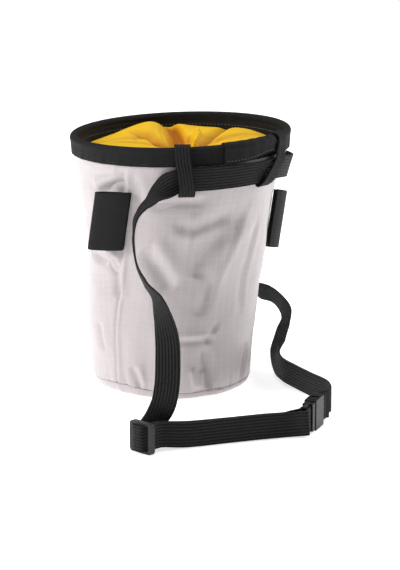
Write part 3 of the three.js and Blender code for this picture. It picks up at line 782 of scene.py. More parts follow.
def tidy_faces(piece: bpy.types.Object, merge: float = MERGE) -> None:
    """Merges points that meet, turns the faces outwards and shades them smooth."""
    sketch = bmesh.new()
    sketch.from_mesh(piece.data)
    bmesh.ops.remove_doubles(sketch, verts=sketch.verts, dist=merge)
    bmesh.ops.recalc_face_normals(sketch, faces=sketch.faces)
    for face in sketch.faces:
        face.smooth = True
    sketch.to_mesh(piece.data)
    sketch.free()


def paint(piece: bpy.types.Object, name: str, values: np.ndarray) -> None:
    """Writes a value for each vertex, which the piece's material reads."""
    layer = piece.data.attributes.new(name, "FLOAT", "POINT")
    layer.data.foreach_set("value", values.astype(np.float32))


def points_of(piece: bpy.types.Object) -> np.ndarray:
    """The piece's vertices in millimetres."""
    spots = np.empty(3 * len(piece.data.vertices))
    piece.data.vertices.foreach_get("co", spots)
    return spots.reshape(-1, 3) / MM


# Materials


class Grain(NamedTuple):
    """A noise: waves in a metre, its layers, and how strong the fine ones are."""

    scale: float
    detail: float = 2
    rough: float = 0.5


class Relief(NamedTuple):
    """A bump: its strength, and its height in metres."""

    strength: float
    distance: float


class Nodes:
    """Adds and links shader nodes in one tree."""

    def __init__(self, tree: bpy.types.NodeTree) -> None:
        self.tree = tree

    def add(self, kind: str, **settings) -> bpy.types.Node:
        """A new node with its settings."""
        node = self.tree.nodes.new(kind)
        for name, value in settings.items():
            setattr(node, name, value)
        return node

    def put(self, value: Given, socket: bpy.types.NodeSocket) -> None:
        """Links a socket to an input, or writes a constant on it."""
        if isinstance(value, bpy.types.NodeSocket):
            self.tree.links.new(value, socket)
        else:
            socket.default_value = value

    def math(self, operation: str, *values: Given) -> bpy.types.NodeSocket:
        """Result of a math node."""
        node = self.add("ShaderNodeMath", operation=operation)
        for value, socket in zip(values, node.inputs):
            self.put(value, socket)
        return node.outputs[0]

    def mix(self, factor: Given, low: Given, high: Given) -> bpy.types.NodeSocket:
        """Colour between two colours."""
        node = self.add("ShaderNodeMix", data_type="RGBA")
        self.put(factor, node.inputs["Factor"])
        self.put(low, node.inputs["A"])
        self.put(high, node.inputs["B"])
        return node.outputs["Result"]

    def noise(self, vector: bpy.types.NodeSocket, grain: Grain) -> bpy.types.NodeSocket:
        """Value of a noise."""
        node = self.add("ShaderNodeTexNoise")
        self.put(vector, node.inputs["Vector"])
        self.put(grain.scale, node.inputs["Scale"])
        self.put(grain.detail, node.inputs["Detail"])
        self.put(grain.rough, node.inputs["Roughness"])
        return node.outputs["Fac"]

    def bump(self, height: bpy.types.NodeSocket, relief: Relief,
             normal: bpy.types.NodeSocket | None = None) -> bpy.types.NodeSocket:
        """Normal of a bump, over another normal if there is one."""
        node = self.add("ShaderNodeBump")
        self.put(height, node.inputs["Height"])
        self.put(relief.strength, node.inputs["Strength"])
        self.put(relief.distance, node.inputs["Distance"])
        if normal is not None:
            self.put(normal, node.inputs["Normal"])
        return node.outputs["Normal"]

    def group(self, tree: bpy.types.NodeTree, **values: Given) -> bpy.types.Node:
        """A shared effect with its inputs."""
        node = self.add("ShaderNodeGroup", node_tree=tree)
        for name, value in values.items():
            self.put(value, node.inputs[name])
        return node


def new_group(name: str, inputs: Sequence[str], outputs: Sequence[str]) -> tuple[Nodes, dict, dict]:
    """An empty shared effect of plain values.

    Args:
        name: Name of the effect.
        inputs: Names of its inputs.
        outputs: Names of its outputs.

    Returns:
        The tree's nodes, the sockets of its inputs and those of its outputs.
    """
    tree = bpy.data.node_groups.new(name, "ShaderNodeTree")
    for label in inputs:
        tree.interface.new_socket(label, in_out="INPUT", socket_type="NodeSocketFloat")
    for label in outputs:
        tree.interface.new_socket(label, in_out="OUTPUT", socket_type="NodeSocketFloat")
    start, end = tree.nodes.new("NodeGroupInput"), tree.nodes.new("NodeGroupOutput")
    given = {label: start.outputs[label] for label in inputs}
    wanted = {label: end.inputs[label] for label in outputs}
    return Nodes(tree), given, wanted


def thread_group() -> bpy.types.NodeTree:
    """Round threads side by side: 1 on a thread's crest and 0 between two."""
    nodes, given, wanted = new_group("threads", ["Place", "Pitch", "Sharp"], ["Mask"])
    turns = nodes.math("DIVIDE", given["Place"], given["Pitch"])
    wave = nodes.math("COSINE", nodes.math("MULTIPLY", turns, 2 * math.pi))
    crest = nodes.math("MULTIPLY_ADD", wave, 0.5, 0.5)
    nodes.put(nodes.math("POWER", crest, given["Sharp"]), wanted["Mask"])
    return nodes.tree


def weave_group(threads: bpy.types.NodeTree) -> bpy.types.NodeTree:
    """A plain weave: warp and weft take turns on top."""
    nodes, given, wanted = new_group("weave", ["U", "V", "Pitch"], ["Height"])
    warp = nodes.group(threads, Place=given["U"], Pitch=given["Pitch"], Sharp=1.0).outputs["Mask"]
    weft = nodes.group(threads, Place=given["V"], Pitch=given["Pitch"], Sharp=1.0).outputs["Mask"]
    over = nodes.math("MULTIPLY", nodes.math("SUBTRACT", warp, 0.5), nodes.math("SUBTRACT", weft, 0.5))
    nodes.put(nodes.math("MULTIPLY_ADD", over, 2.0, 0.5), wanted["Height"])
    return nodes.tree


def ripstop_group(threads: bpy.types.NodeTree) -> bpy.types.NodeTree:
    """Thicker threads that cross the cloth at even distances."""
    inputs = ["U", "V", "Wide", "Tall", "Sharp"]
    nodes, given, wanted = new_group("ripstop", inputs, ["Upright", "Level"])
    upright = nodes.group(threads, Place=given["U"], Pitch=given["Wide"], Sharp=given["Sharp"])
    level = nodes.group(threads, Place=given["V"], Pitch=given["Tall"], Sharp=given["Sharp"])
    nodes.put(upright.outputs["Mask"], wanted["Upright"])
    nodes.put(level.outputs["Mask"], wanted["Level"])
    return nodes.tree


def herringbone_group(threads: bpy.types.NodeTree) -> bpy.types.NodeTree:
    """Slanting threads that change direction from row to row."""
    nodes, given, wanted = new_group("herringbone", ["U", "V", "Pitch", "Row"], ["Height"])
    zigzag = nodes.math("PINGPONG", given["V"], given["Row"])
    slanted = nodes.math("ADD", given["U"], zigzag)
    ridge = nodes.group(threads, Place=slanted, Pitch=given["Pitch"], Sharp=1.0)
    nodes.put(ridge.outputs["Mask"], wanted["Height"])
    return nodes.tree


def webbing_group(threads: bpy.types.NodeTree, rib_sharp: float = 0.8, knuckle_sharp: float = 0.7,
                  knuckle_share: float = 0.55) -> bpy.types.NodeTree:
    """Ribs along a strap, each a row of small knuckles that its neighbours set off.

    Args:
        threads: The shared effect of round threads.
        rib_sharp: How narrow the ribs' crests are.
        knuckle_sharp: How narrow the knuckles' crests are.
        knuckle_share: How much of a rib's height its knuckles take.

    Returns:
        The effect.
    """
    nodes, given, wanted = new_group("webbing", ["U", "V", "Rib", "Knuckle"], ["Height"])
    rib = nodes.group(threads, Place=given["U"], Pitch=given["Rib"], Sharp=rib_sharp).outputs["Mask"]
    number = nodes.math("FLOOR", nodes.math("ADD", nodes.math("DIVIDE", given["U"], given["Rib"]), 0.5))
    offset = nodes.math("MULTIPLY", number, nodes.math("MULTIPLY", given["Knuckle"], 0.5))
    along = nodes.math("ADD", given["V"], offset)
    knuckles = nodes.group(threads, Place=along, Pitch=given["Knuckle"], Sharp=knuckle_sharp)
    beaded = nodes.math("MULTIPLY_ADD", knuckles.outputs["Mask"], knuckle_share, 1 - knuckle_share)
    nodes.put(nodes.math("MULTIPLY", rib, beaded), wanted["Height"])
    return nodes.tree


class Looks:
    """Shared effects and the materials made with them."""

    def __init__(self) -> None:
        self.threads = thread_group()
        self.weave = weave_group(self.threads)
        self.ripstop = ripstop_group(self.threads)
        self.herringbone = herringbone_group(self.threads)
        self.webbing = webbing_group(self.threads)

    def start(self, name: str) -> tuple[bpy.types.Material, Nodes, bpy.types.Node]:
        """A material with its nodes and its main shader."""
        material = bpy.data.materials.new(name)
        material.use_nodes = True
        nodes = Nodes(material.node_tree)
        return material, nodes, material.node_tree.nodes["Principled BSDF"]

    def cut_places(self, nodes: Nodes) -> tuple[bpy.types.NodeSocket, bpy.types.NodeSocket]:
        """The cut pattern's two coordinates in millimetres."""
        uv = nodes.add("ShaderNodeUVMap", uv_map="cut")
        split = nodes.add("ShaderNodeSeparateXYZ")
        nodes.put(uv.outputs["UV"], split.inputs["Vector"])
        return split.outputs["X"], split.outputs["Y"]

    def object_place(self, nodes: Nodes) -> bpy.types.NodeSocket:
        """Place in the object's own space, in metres."""
        return nodes.add("ShaderNodeTexCoord").outputs["Object"]


@dataclass(frozen=True)
class RipstopFinish:
    """Light nylon with a grid of thicker threads, and creases that catch the light."""

    name: str = "ripstop_nylon"
    color: Color = (0.55, 0.5, 0.503, 1)
    shade: Color = (0.34, 0.292, 0.31, 1)
    thread: Color = (0.72, 0.67, 0.665, 1)
    wide: float = 5.3
    tall: float = 4.1
    sharp: float = 60.0
    contrast: float = 0.5
    weave_pitch: float = 0.42
    roughness: float = 0.36
    rough_span: float = 0.16
    sheen: float = 0.12
    wobble: float = 0.9
    level_share: float = 0.8
    patch_share: float = 0.45
    drift: Grain = Grain(34, 1)
    fading: Grain = Grain(55)
    patches: Grain = Grain(16, 3, 0.55)
    crinkle: Grain = Grain(190, 3, 0.6)
    weave_relief: Relief = Relief(0.12, 0.00012)
    line_relief: Relief = Relief(0.35, 0.00022)
    crinkle_relief: Relief = Relief(0.22, 0.0009)

    def material(self, looks: Looks) -> bpy.types.Material:
        """Builds the material."""
        material, nodes, shader = looks.start(self.name)
        u, v = looks.cut_places(nodes)
        place = looks.object_place(nodes)
        drift = nodes.math("SUBTRACT", nodes.noise(place, self.drift), 0.5)
        shaken_u = nodes.math("ADD", u, nodes.math("MULTIPLY", drift, 2 * self.wobble))
        shaken_v = nodes.math("SUBTRACT", v, nodes.math("MULTIPLY", drift, 2 * self.wobble))
        grid = nodes.group(looks.ripstop, U=shaken_u, V=shaken_v, Wide=self.wide, Tall=self.tall,
                           Sharp=self.sharp)
        fade = nodes.noise(place, self.fading)
        upright = nodes.math("MULTIPLY", grid.outputs["Upright"], fade)
        level = nodes.math("MULTIPLY", grid.outputs["Level"], nodes.math("SUBTRACT", 1.0, fade))
        lines = nodes.math("MAXIMUM", upright, nodes.math("MULTIPLY", level, self.level_share))
        patchy = nodes.noise(place, self.patches)
        cloth = nodes.mix(nodes.math("MULTIPLY", patchy, self.patch_share), self.color, self.shade)
        nodes.put(nodes.mix(nodes.math("MULTIPLY", lines, self.contrast), cloth, self.thread),
                  shader.inputs["Base Color"])
        weave = nodes.group(looks.weave, U=u, V=v, Pitch=self.weave_pitch).outputs["Height"]
        fine = nodes.bump(weave, self.weave_relief)
        raised = nodes.bump(lines, self.line_relief, fine)
        crinkle = nodes.noise(place, self.crinkle)
        nodes.put(nodes.bump(crinkle, self.crinkle_relief, raised), shader.inputs["Normal"])
        rough = nodes.math("MULTIPLY_ADD", patchy, self.rough_span, self.roughness - self.rough_span / 2)
        nodes.put(rough, shader.inputs["Roughness"])
        nodes.put(self.sheen, shader.inputs["Sheen Weight"])
        return material


@dataclass(frozen=True)
class LinerFinish:
    """Soft golden cloth, with painted orange shade down in its folds."""

    name: str = "golden_liner"
    color: Color = (0.76, 0.46, 0.003, 1)
    # Painted shade: the orange colour that the fold depths are mixed towards.
    fold: Color = (0.5, 0.17, 0.001, 1)
    roughness: float = 0.6
    shine: float = 0.25
    uneven: float = 0.25
    uneven_start: float = -0.1
    weave_pitch: float = 0.5
    patches: Grain = Grain(60)
    crinkle: Grain = Grain(120, 3, 0.55)
    weave_relief: Relief = Relief(0.12, 0.00012)
    crinkle_relief: Relief = Relief(0.18, 0.0012)

    def material(self, looks: Looks) -> bpy.types.Material:
        """Builds the material."""
        material, nodes, shader = looks.start(self.name)
        u, v = looks.cut_places(nodes)
        place = looks.object_place(nodes)
        # Painted shade: the folds' depth, plus a random unevenness of colour, mixes the golden colour
        # towards the orange shade.
        hollow = nodes.add("ShaderNodeAttribute", attribute_name="hollow").outputs["Fac"]
        patchy = nodes.noise(place, self.patches)
        uneven = nodes.math("MULTIPLY_ADD", patchy, self.uneven, self.uneven_start)
        depth = nodes.math("ADD", hollow, uneven)
        depth.node.use_clamp = True
        nodes.put(nodes.mix(depth, self.color, self.fold), shader.inputs["Base Color"])
        weave = nodes.group(looks.weave, U=u, V=v, Pitch=self.weave_pitch).outputs["Height"]
        fine = nodes.bump(weave, self.weave_relief)
        crinkle = nodes.noise(place, self.crinkle)
        nodes.put(nodes.bump(crinkle, self.crinkle_relief, fine), shader.inputs["Normal"])
        nodes.put(self.roughness, shader.inputs["Roughness"])
        nodes.put(self.shine, shader.inputs["Specular IOR Level"])
        return material


class Pattern(Enum):
    """How a dark tape or strap is woven."""

    HERRINGBONE = "herringbone"
    WEBBING = "webbing"
    ELASTIC = "elastic"
    PLAIN = "plain"


@dataclass(frozen=True)
class TapeFinish:
    """Black woven tape, webbing or elastic, with painted highlights on the weave's crests."""

    name: str
    pattern: Pattern
    color: Color = (0.0022, 0.0022, 0.0024, 1)
    # Painted highlight colour for the weave's raised crests.
    crest: Color = (0.017, 0.017, 0.018, 1)
    pitch: float = 1.0
    row: float = 2.0
    relief: Relief = Relief(0.7, 0.0003)
    roughness: float = 0.7
    rough_span: float = 0.2
    shine: float = 0.2
    # Noise that varies the amount of painted highlight on the crests, and the roughness.
    highlight_and_rough_noise: Grain = Grain(240, 3, 0.6)
    highlight_share: float = 0.8
    highlight_least: float = 0.3

    def height(self, nodes: Nodes, looks: Looks) -> bpy.types.NodeSocket:
        """Height of the weave, from 0 to 1."""
        u, v = looks.cut_places(nodes)
        if self.pattern is Pattern.HERRINGBONE:
            group = nodes.group(looks.herringbone, U=u, V=v, Pitch=self.pitch, Row=self.row)
        elif self.pattern is Pattern.PLAIN:
            group = nodes.group(looks.weave, U=u, V=v, Pitch=self.pitch)
        else:
            group = nodes.group(looks.webbing, U=u, V=v, Rib=self.pitch, Knuckle=self.row)
        return group.outputs["Height"]

    def material(self, looks: Looks) -> bpy.types.Material:
        """Builds the material."""
        material, nodes, shader = looks.start(self.name)
        place = looks.object_place(nodes)
        height = self.height(nodes, looks)
        # Painted highlight: the weave's crests are lightened towards the crest colour by an amount that a
        # noise varies.
        highlight_and_rough_noise = nodes.noise(place, self.highlight_and_rough_noise)
        highlight_amount = nodes.math("MULTIPLY_ADD", highlight_and_rough_noise, self.highlight_share, self.highlight_least)
        crest_highlight = nodes.math("MULTIPLY", height, highlight_amount)
        nodes.put(nodes.mix(crest_highlight, self.color, self.crest), shader.inputs["Base Color"])
        nodes.put(nodes.bump(height, self.relief), shader.inputs["Normal"])
        rough = nodes.math("MULTIPLY_ADD", highlight_and_rough_noise, self.rough_span, self.roughness - self.rough_span / 2)
        nodes.put(rough, shader.inputs["Roughness"])
        nodes.put(self.shine, shader.inputs["Specular IOR Level"])
        return material


@dataclass(frozen=True)
class PlasticFinish:
    """Satin moulded plastic with a fine grain and rubbed edges."""

    name: str = "satin_plastic"
    color: Color = (0.005, 0.005, 0.0055, 1)
    rubbed: Color = (0.03, 0.03, 0.032, 1)
    roughness: float = 0.42
    rough_span: float = 0.2
    shine: float = 0.3
    edge_gain: float = 6.0
    edge_start: float = -3.1
    scuffs: Grain = Grain(300, 3, 0.6)
    grain: Grain = Grain(2600)
    relief: Relief = Relief(0.15, 0.00008)

    def material(self, looks: Looks) -> bpy.types.Material:
        """Builds the material."""
        material, nodes, shader = looks.start(self.name)
        place = looks.object_place(nodes)
        geometry = nodes.add("ShaderNodeNewGeometry")
        edge = nodes.math("MULTIPLY_ADD", geometry.outputs["Pointiness"], self.edge_gain, self.edge_start)
        edge.node.use_clamp = True
        scuffs = nodes.noise(place, self.scuffs)
        worn = nodes.math("MULTIPLY", edge, scuffs)
        nodes.put(nodes.mix(worn, self.color, self.rubbed), shader.inputs["Base Color"])
        grain = nodes.noise(place, self.grain)
        nodes.put(nodes.bump(grain, self.relief), shader.inputs["Normal"])
        rough = nodes.math("MULTIPLY_ADD", scuffs, self.rough_span, self.roughness - self.rough_span / 2)
        nodes.put(rough, shader.inputs["Roughness"])
        nodes.put(self.shine, shader.inputs["Specular IOR Level"])
        return material


@dataclass(frozen=True)
class ThreadFinish:
    """Twisted sewing thread."""

    name: str
    color: Color
    roughness: float = 0.55
    gloss: float = 1.8
    fibres: Grain = Grain(4000)
    relief: Relief = Relief(0.3, 0.00005)

    def material(self, looks: Looks) -> bpy.types.Material:
        """Builds the material."""
        material, nodes, shader = looks.start(self.name)
        place = looks.object_place(nodes)
        fibres = nodes.noise(place, self.fibres)
        bright = tuple(min(1.0, self.gloss * part) for part in self.color[:3]) + (1.0,)
        nodes.put(nodes.mix(fibres, self.color, bright), shader.inputs["Base Color"])
        nodes.put(nodes.bump(fibres, self.relief), shader.inputs["Normal"])
        nodes.put(self.roughness, shader.inputs["Roughness"])
        return material


@dataclass(frozen=True)
class FloorFinish:
    """Plain pale paper."""

    name: str = "pale_floor"
    color: Color = (0.93, 0.93, 0.93, 1)
    glow: float = 0.66
    roughness: float = 0.95
    shine: float = 0.1
    grain: Grain = Grain(900)
    relief: Relief = Relief(0.02, 0.0001)

    def material(self, looks: Looks) -> bpy.types.Material:
        """Builds the material."""
        material, nodes, shader = looks.start(self.name)
        grain = nodes.noise(looks.object_place(nodes), self.grain)
        nodes.put(nodes.bump(grain, self.relief), shader.inputs["Normal"])
        nodes.put(self.color, shader.inputs["Base Color"])
        nodes.put(self.roughness, shader.inputs["Roughness"])
        nodes.put(self.shine, shader.inputs["Specular IOR Level"])
        nodes.put(self.color, shader.inputs["Emission Color"])
        nodes.put(self.glow, shader.inputs["Emission Strength"])
        return material


def settle(piece: bpy.types.Object, material: bpy.types.Material, slot: Slot, *nodes: str) -> None:
    """Gives a piece its material and hides the nodes that it stands for."""
    piece.data.materials.clear()
    piece.data.materials.append(material)
    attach(piece, "root")
    if nodes:
        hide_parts(*nodes)
    log.info("%s: %d faces", piece.name, len(piece.data.polygons))


# Stitches


@dataclass(frozen=True)
class StitchRow:
    """Short raised stitches along a line."""

    name: str
    length: float = 1.7
    thick: float = 0.42
    pitch: float = 2.5

    def build(self, starts: np.ndarray, aheads: np.ndarray, outs: np.ndarray) -> bpy.types.Object:
        """Makes the row.

        Args:
            starts: Middles of the stitches in millimetres.
            aheads: Directions along the row.
            outs: Directions out of the cloth.

        Returns:
            One piece with all the stitches.
        """
        ball = bmesh.new()
        bmesh.ops.create_icosphere(ball, subdivisions=1, radius=0.5)
        ball.verts.ensure_lookup_table()
        shape = np.array([vert.co[:] for vert in ball.verts])
        faces = np.array([[vert.index for vert in face.verts] for face in ball.faces])
        ball.free()
        aheads = aheads / np.linalg.norm(aheads, axis=1, keepdims=True)
        outs = outs - aheads * np.sum(outs * aheads, axis=1, keepdims=True)
        outs = outs / np.linalg.norm(outs, axis=1, keepdims=True)
        sides = np.cross(outs, aheads)
        spots = (starts[:, None] + shape[None, :, 0:1] * self.length * aheads[:, None]
                 + shape[None, :, 1:2] * self.thick * sides[:, None]
                 + shape[None, :, 2:3] * self.thick * outs[:, None])
        rows = (faces[None] + len(shape) * np.arange(len(starts))[:, None, None]).reshape(-1, 3)
        mesh = bpy.data.meshes.new(self.name)
        mesh.from_pydata((spots.reshape(-1, 3) * MM).tolist(), [], rows.tolist())
        mesh.shade_smooth()
        return new_object(self.name, mesh)


def along_line(points: np.ndarray, pitch: float) -> tuple[np.ndarray, np.ndarray]:
    """Even places on a line, and the directions there.

    Args:
        points: The line's points in millimetres, close together.
        pitch: Distance between the places.

    Returns:
        The places and the directions.
    """
    lengths = lengths_along(points)
    marks = np.arange(pitch / 2, lengths[-1], pitch)

    def spot(mark: np.ndarray) -> np.ndarray:
        """The line's points at distances along it."""
        return np.stack([np.interp(mark, lengths, points[:, axis]) for axis in range(3)], axis=-1)

    return spot(marks), spot(marks + pitch / 4) - spot(marks - pitch / 4)


# Pieces of the bag


@dataclass(frozen=True)
class BodyCloth:
    """The tube of ripstop cloth with its creases and puckers."""

    bag: BagShape
    laps: int = 420
    rows: int = 170
    inner_rows: int = 12
    pucker: float = 0.45
    pucker_reach: float = 7
    groove: float = 1.3
    groove_away: float = 1.9
    groove_width: float = 1.0
    flare_slope: float = 0.106
    hem_stitch: float = 0.8
    hem_stitched: tuple[float, float] = (-28, 200)
    line_parts: int = 300
    crease_reach: float = 5
    crease_ends: float = 4
    end_curve: float = 0.8
    lip_away: float = 1.9
    pucker_least: float = 0.6
    low_pucker: float = 0.7
    high_pucker: float = 0.35
    high_reach: float = 1.6

    def creases(self, turn: np.ndarray, z: np.ndarray) -> np.ndarray:
        """How far the creases push the cloth out."""
        bag = self.bag
        out = np.zeros(turn.shape)
        for crease in CREASES:
            spots = rounded(crease.path)
            middle = spots[:, 0].mean()
            level = np.radians(spots[:, 0] - middle) * bag.mean_radius
            path = np.stack([level, spots[:, 1] * bag.height], axis=-1)
            x = np.radians(wrapped(turn - middle)) * bag.mean_radius
            reach = self.crease_reach * crease.width
            near = ((x > path[:, 0].min() - reach) & (x < path[:, 0].max() + reach)
                    & (z > path[:, 1].min() - reach) & (z < path[:, 1].max() + reach))
            away, share = line_offset(x[near], z[near], path)
            ends = np.clip(np.minimum(share, 1 - share) * self.crease_ends, 0, 1)
            fade = np.where(np.abs(away) < reach, np.sin(0.5 * np.pi * ends) ** self.end_curve, 0)
            valley = bell(away / crease.width)
            lip = crease.lip * bell((away - self.lip_away * crease.width) / crease.width)
            out[near] += crease.depth * fade * (lip - valley)
        return out

    def puckers(self, turn: np.ndarray, z: np.ndarray) -> np.ndarray:
        """Small gathers that fade away from the hem and from under the binding."""
        bag = self.bag
        low = np.exp(-np.maximum(z - bag.hem_top(turn), 0) / self.pucker_reach)
        under = np.maximum(bag.height - bag.binding_height - z, 0)
        high = np.exp(-under / (self.high_reach * self.pucker_reach))
        angle = np.radians(turn)
        slow = self.pucker_least + swell(angle, SLOW_WAVES)
        fade = self.low_pucker * low + self.high_pucker * high
        return self.pucker * slow * swell(angle, PUCKER_WAVES) * fade

    def outside(self, turn: np.ndarray, z: np.ndarray) -> np.ndarray:
        """How far the detail pushes the cloth out at each place."""
        bag = self.bag
        calm = np.clip(bag.column("slack", z), 0, 1)
        left = np.radians(wrapped(turn + bag.seam_turn(z))) * bag.mean_radius
        right = np.radians(wrapped(turn - bag.seam_turn(z))) * bag.mean_radius
        grooves = (bell((left + self.groove_away) / self.groove_width)
                   + bell((right - self.groove_away) / self.groove_width))
        push = calm * (self.creases(turn, z) - self.groove * grooves)
        return push + self.puckers(turn, z)

    def cut(self, turn: np.ndarray, z: np.ndarray) -> np.ndarray:
        """Places on the flat front or back panel."""
        bag = self.bag
        front = np.abs(wrapped(turn)) < bag.seam_turn(z)
        angle = np.radians(np.where(front, wrapped(turn), wrapped(turn - 180)))
        radius = bag.base_radius + self.flare_slope * z
        sag = 0.5 * self.flare_slope * bag.mean_radius * angle ** 2
        return np.stack([angle * radius, z - sag], axis=-1)

    def stitches(self, row: StitchRow) -> bpy.types.Object:
        """Stitches just over the hem, where it can be seen."""
        turn = np.linspace(*self.hem_stitched, self.line_parts)
        z = self.bag.hem_top(turn) + self.hem_stitch
        line = self.bag.on_bag(turn, z, self.outside(turn, z))
        starts, aheads = along_line(line, row.pitch)
        outs = starts * np.array((1, 1, 0))
        return row.build(starts, aheads, outs)

    def build(self) -> bpy.types.Object:
        """Makes the body."""
        bag = self.bag
        top = bag.height - bag.roll_depth
        shares = np.concatenate([np.linspace(0, 1, self.rows), np.linspace(1, 0, self.inner_rows)])
        inner = np.arange(len(shares)) >= self.rows

        def height_at(turn: np.ndarray, level: np.ndarray) -> np.ndarray:
            """Heights of the sketch's levels."""
            start = bag.hem_top(turn) + bag.gap
            return start + (top - start) * shares[level.astype(int)]

        def place(turn: np.ndarray, level: np.ndarray) -> np.ndarray:
            """Points in millimetres for the sketch's coordinates."""
            z = height_at(turn, level)
            proud = np.where(inner[level.astype(int)], -bag.wall, 0)
            rough = bag.on_bag(turn, z, 0)
            calm = np.clip(bag.column("slack", z), 0, 1)
            push = self.outside(turn, z)
            push = push + calm * sum(row.depth * crumple(rough, row.pitch, row.seed) for row in CRUMPLES)
            return bag.on_bag(turn, z, proud + push)

        def cut(turn: np.ndarray, level: np.ndarray) -> np.ndarray:
            """Flat pattern in millimetres for the sketch's coordinates."""
            return self.cut(turn, height_at(turn, level))

        piece = piece_from("body_cloth", spun_sketch(len(shares), self.laps, True), place, cut, True)
        tidy_faces(piece)
        return piece


@dataclass(frozen=True)
class BasePanel:
    """The round base, whose edge turns up to the hem."""

    bag: BagShape
    wall: float = 1.6
    tuck: float = 6
    laps: int = 240
    bend_rows: int = 12
    flat_rows: int = 8

    def build(self) -> bpy.types.Object:
        """Makes the base."""
        bag = self.bag
        quarter = np.linspace(0, 90, self.bend_rows)
        bend = [(1.0, angle, inset) for inset, side in ((0, quarter), (self.wall, quarter[::-1]))
                for angle in side]
        flat = np.linspace(0, 1, self.flat_rows, endpoint=False)
        rows = ([(share, 0.0, 0) for share in flat] + bend
                + [(share, 0.0, self.wall) for share in flat[::-1]])
        table = np.array(rows)

        def place(turn: np.ndarray, level: np.ndarray) -> np.ndarray:
            """Points in millimetres for the sketch's coordinates."""
            share, angle, inset = table[level.astype(int)].T
            top = bag.hem_top(turn)
            edge = bag.radius(turn, top) - bag.gap
            tuck = self.tuck * around([hem.turn for hem in HEMS], [hem.tuck for hem in HEMS], turn)
            bent = np.radians(angle)
            radius = share * (edge - tuck + (tuck - inset) * np.sin(bent))
            z = inset + (top - inset) * (1 - np.cos(bent))
            shift = bag.rim_shift * bag.column("shift", top)
            points = unit(turn) * radius[:, None] + unit(bag.side_turn) * (shift * share)[:, None]
            points[:, 2] = z
            return points

        def cut(turn: np.ndarray, level: np.ndarray) -> np.ndarray:
            """Flat pattern in millimetres for the sketch's coordinates."""
            return place(turn, level)[:, :2]

        piece = piece_from("base_cloth", spun_sketch(len(table), self.laps, False), place, cut, True)
        tidy_faces(piece, MIDDLE_MERGE)
        return piece


@dataclass(frozen=True)
class RimBinding:
    """Tape folded over the stiff rim."""

    bag: BagShape
    laps: int = 400
    leg_rows: int = 9
    roll_rows: int = 22
    roll_from: float = -30
    roll_to: float = 210
    ripple: float = 0.16
    stitch_up: float = 1.6
    inside_stitch_up: float = 4.2
    stitch_sink: float = 0.1
    stitched_outside: tuple[float, float] = (27, 350)
    stitched_inside: tuple[float, float] = (0, 360)
    line_parts: int = 900
    lift: float = 3.2
    lift_turn: float = 21
    lift_wide: float = 8

    def section(self, grow: float, inner_down: float) -> np.ndarray:
        """Outline of the tape from its outer foot over the roll to its inner foot.

        Args:
            grow: How far the outline stands outside the tape.
            inner_down: Where the inner leg ends, below the rim's top.

        Returns:
            Rows of distance inside the rim and distance below its top.
        """
        bag = self.bag
        radius = bag.roll_radius + grow
        angles = np.radians(np.linspace(self.roll_from, self.roll_to, self.roll_rows))
        roll = bag.roll_radius - radius * np.stack([np.cos(angles), np.sin(angles)], axis=-1)
        outer_foot = np.array([bag.slot_out - bag.binding_leg - grow, bag.binding_height])
        inner_foot = np.array([bag.slot_in + bag.binding_leg + grow, inner_down])
        shares = np.linspace(0, 1, self.leg_rows, endpoint=False)[:, None]
        outer = outer_foot + (roll[0] - outer_foot) * shares
        inner = inner_foot + (roll[-1] - inner_foot) * shares
        return np.concatenate([outer, roll, inner[::-1]])

    def raised(self, turn: np.ndarray, out: np.ndarray, down: np.ndarray) -> np.ndarray:
        """Distance below the rim's top, less where the outer leg is drawn up."""
        bag = self.bag
        leg = np.clip((down - bag.roll_radius) / (bag.binding_height - bag.roll_radius), 0, 1)
        outer = np.where(out < bag.slot_out, leg, 0)
        return down - self.lift * bell((turn - self.lift_turn) / self.lift_wide) * outer

    def build(self) -> bpy.types.Object:
        """Makes the binding."""
        bag = self.bag
        top = bag.roll_depth - bag.gap
        slot = [(bag.slot_in, bag.binding_height), (bag.slot_in, top),
                (bag.slot_out, top), (bag.slot_out, bag.binding_height)]
        table = np.concatenate([self.section(0, bag.binding_height), slot])
        lengths = lengths_along(table)

        def place(turn: np.ndarray, level: np.ndarray) -> np.ndarray:
            """Points in millimetres for the sketch's coordinates."""
            out, down = table[level.astype(int)].T
            leg = np.clip((down - bag.roll_radius) / bag.binding_height, 0, 1)
            ripple = self.ripple * leg * swell(np.radians(turn), TAPE_WAVES)
            side = np.where(out < bag.slot_out, -1, np.where(out > bag.slot_in, 1, 0))
            return bag.rim_spot(turn, out + ripple * side, self.raised(turn, out, down))

        def cut(turn: np.ndarray, level: np.ndarray) -> np.ndarray:
            """Flat pattern in millimetres for the sketch's coordinates."""
            return np.stack([np.radians(turn) * bag.rim_radius, lengths[level.astype(int)]], axis=-1)

        piece = piece_from("rim_tape", spun_sketch(len(table), self.laps, True), place, cut, True)
        tidy_faces(piece)
        return piece

    def stitches(self, row: StitchRow, inside: bool) -> bpy.types.Object:
        """A row of stitches near the tape's lower edge, outside or inside the rim."""
        bag = self.bag
        if inside:
            turns, up = self.stitched_inside, self.inside_stitch_up
            face = bag.slot_in + bag.binding_leg - self.stitch_sink
        else:
            turns, up = self.stitched_outside, self.stitch_up
            face = bag.slot_out - bag.binding_leg + self.stitch_sink
        turn = np.linspace(*turns, self.line_parts)
        line = bag.rim_spot(turn, np.full(turn.shape, face), np.full(turn.shape, bag.binding_height - up))
        starts, aheads = along_line(line, row.pitch)
        middle = unit(bag.side_turn) * bag.rim_shift
        outs = (starts - middle) * (-1 if inside else 1)
        outs[:, 2] = 0
        return row.build(starts, aheads, outs)


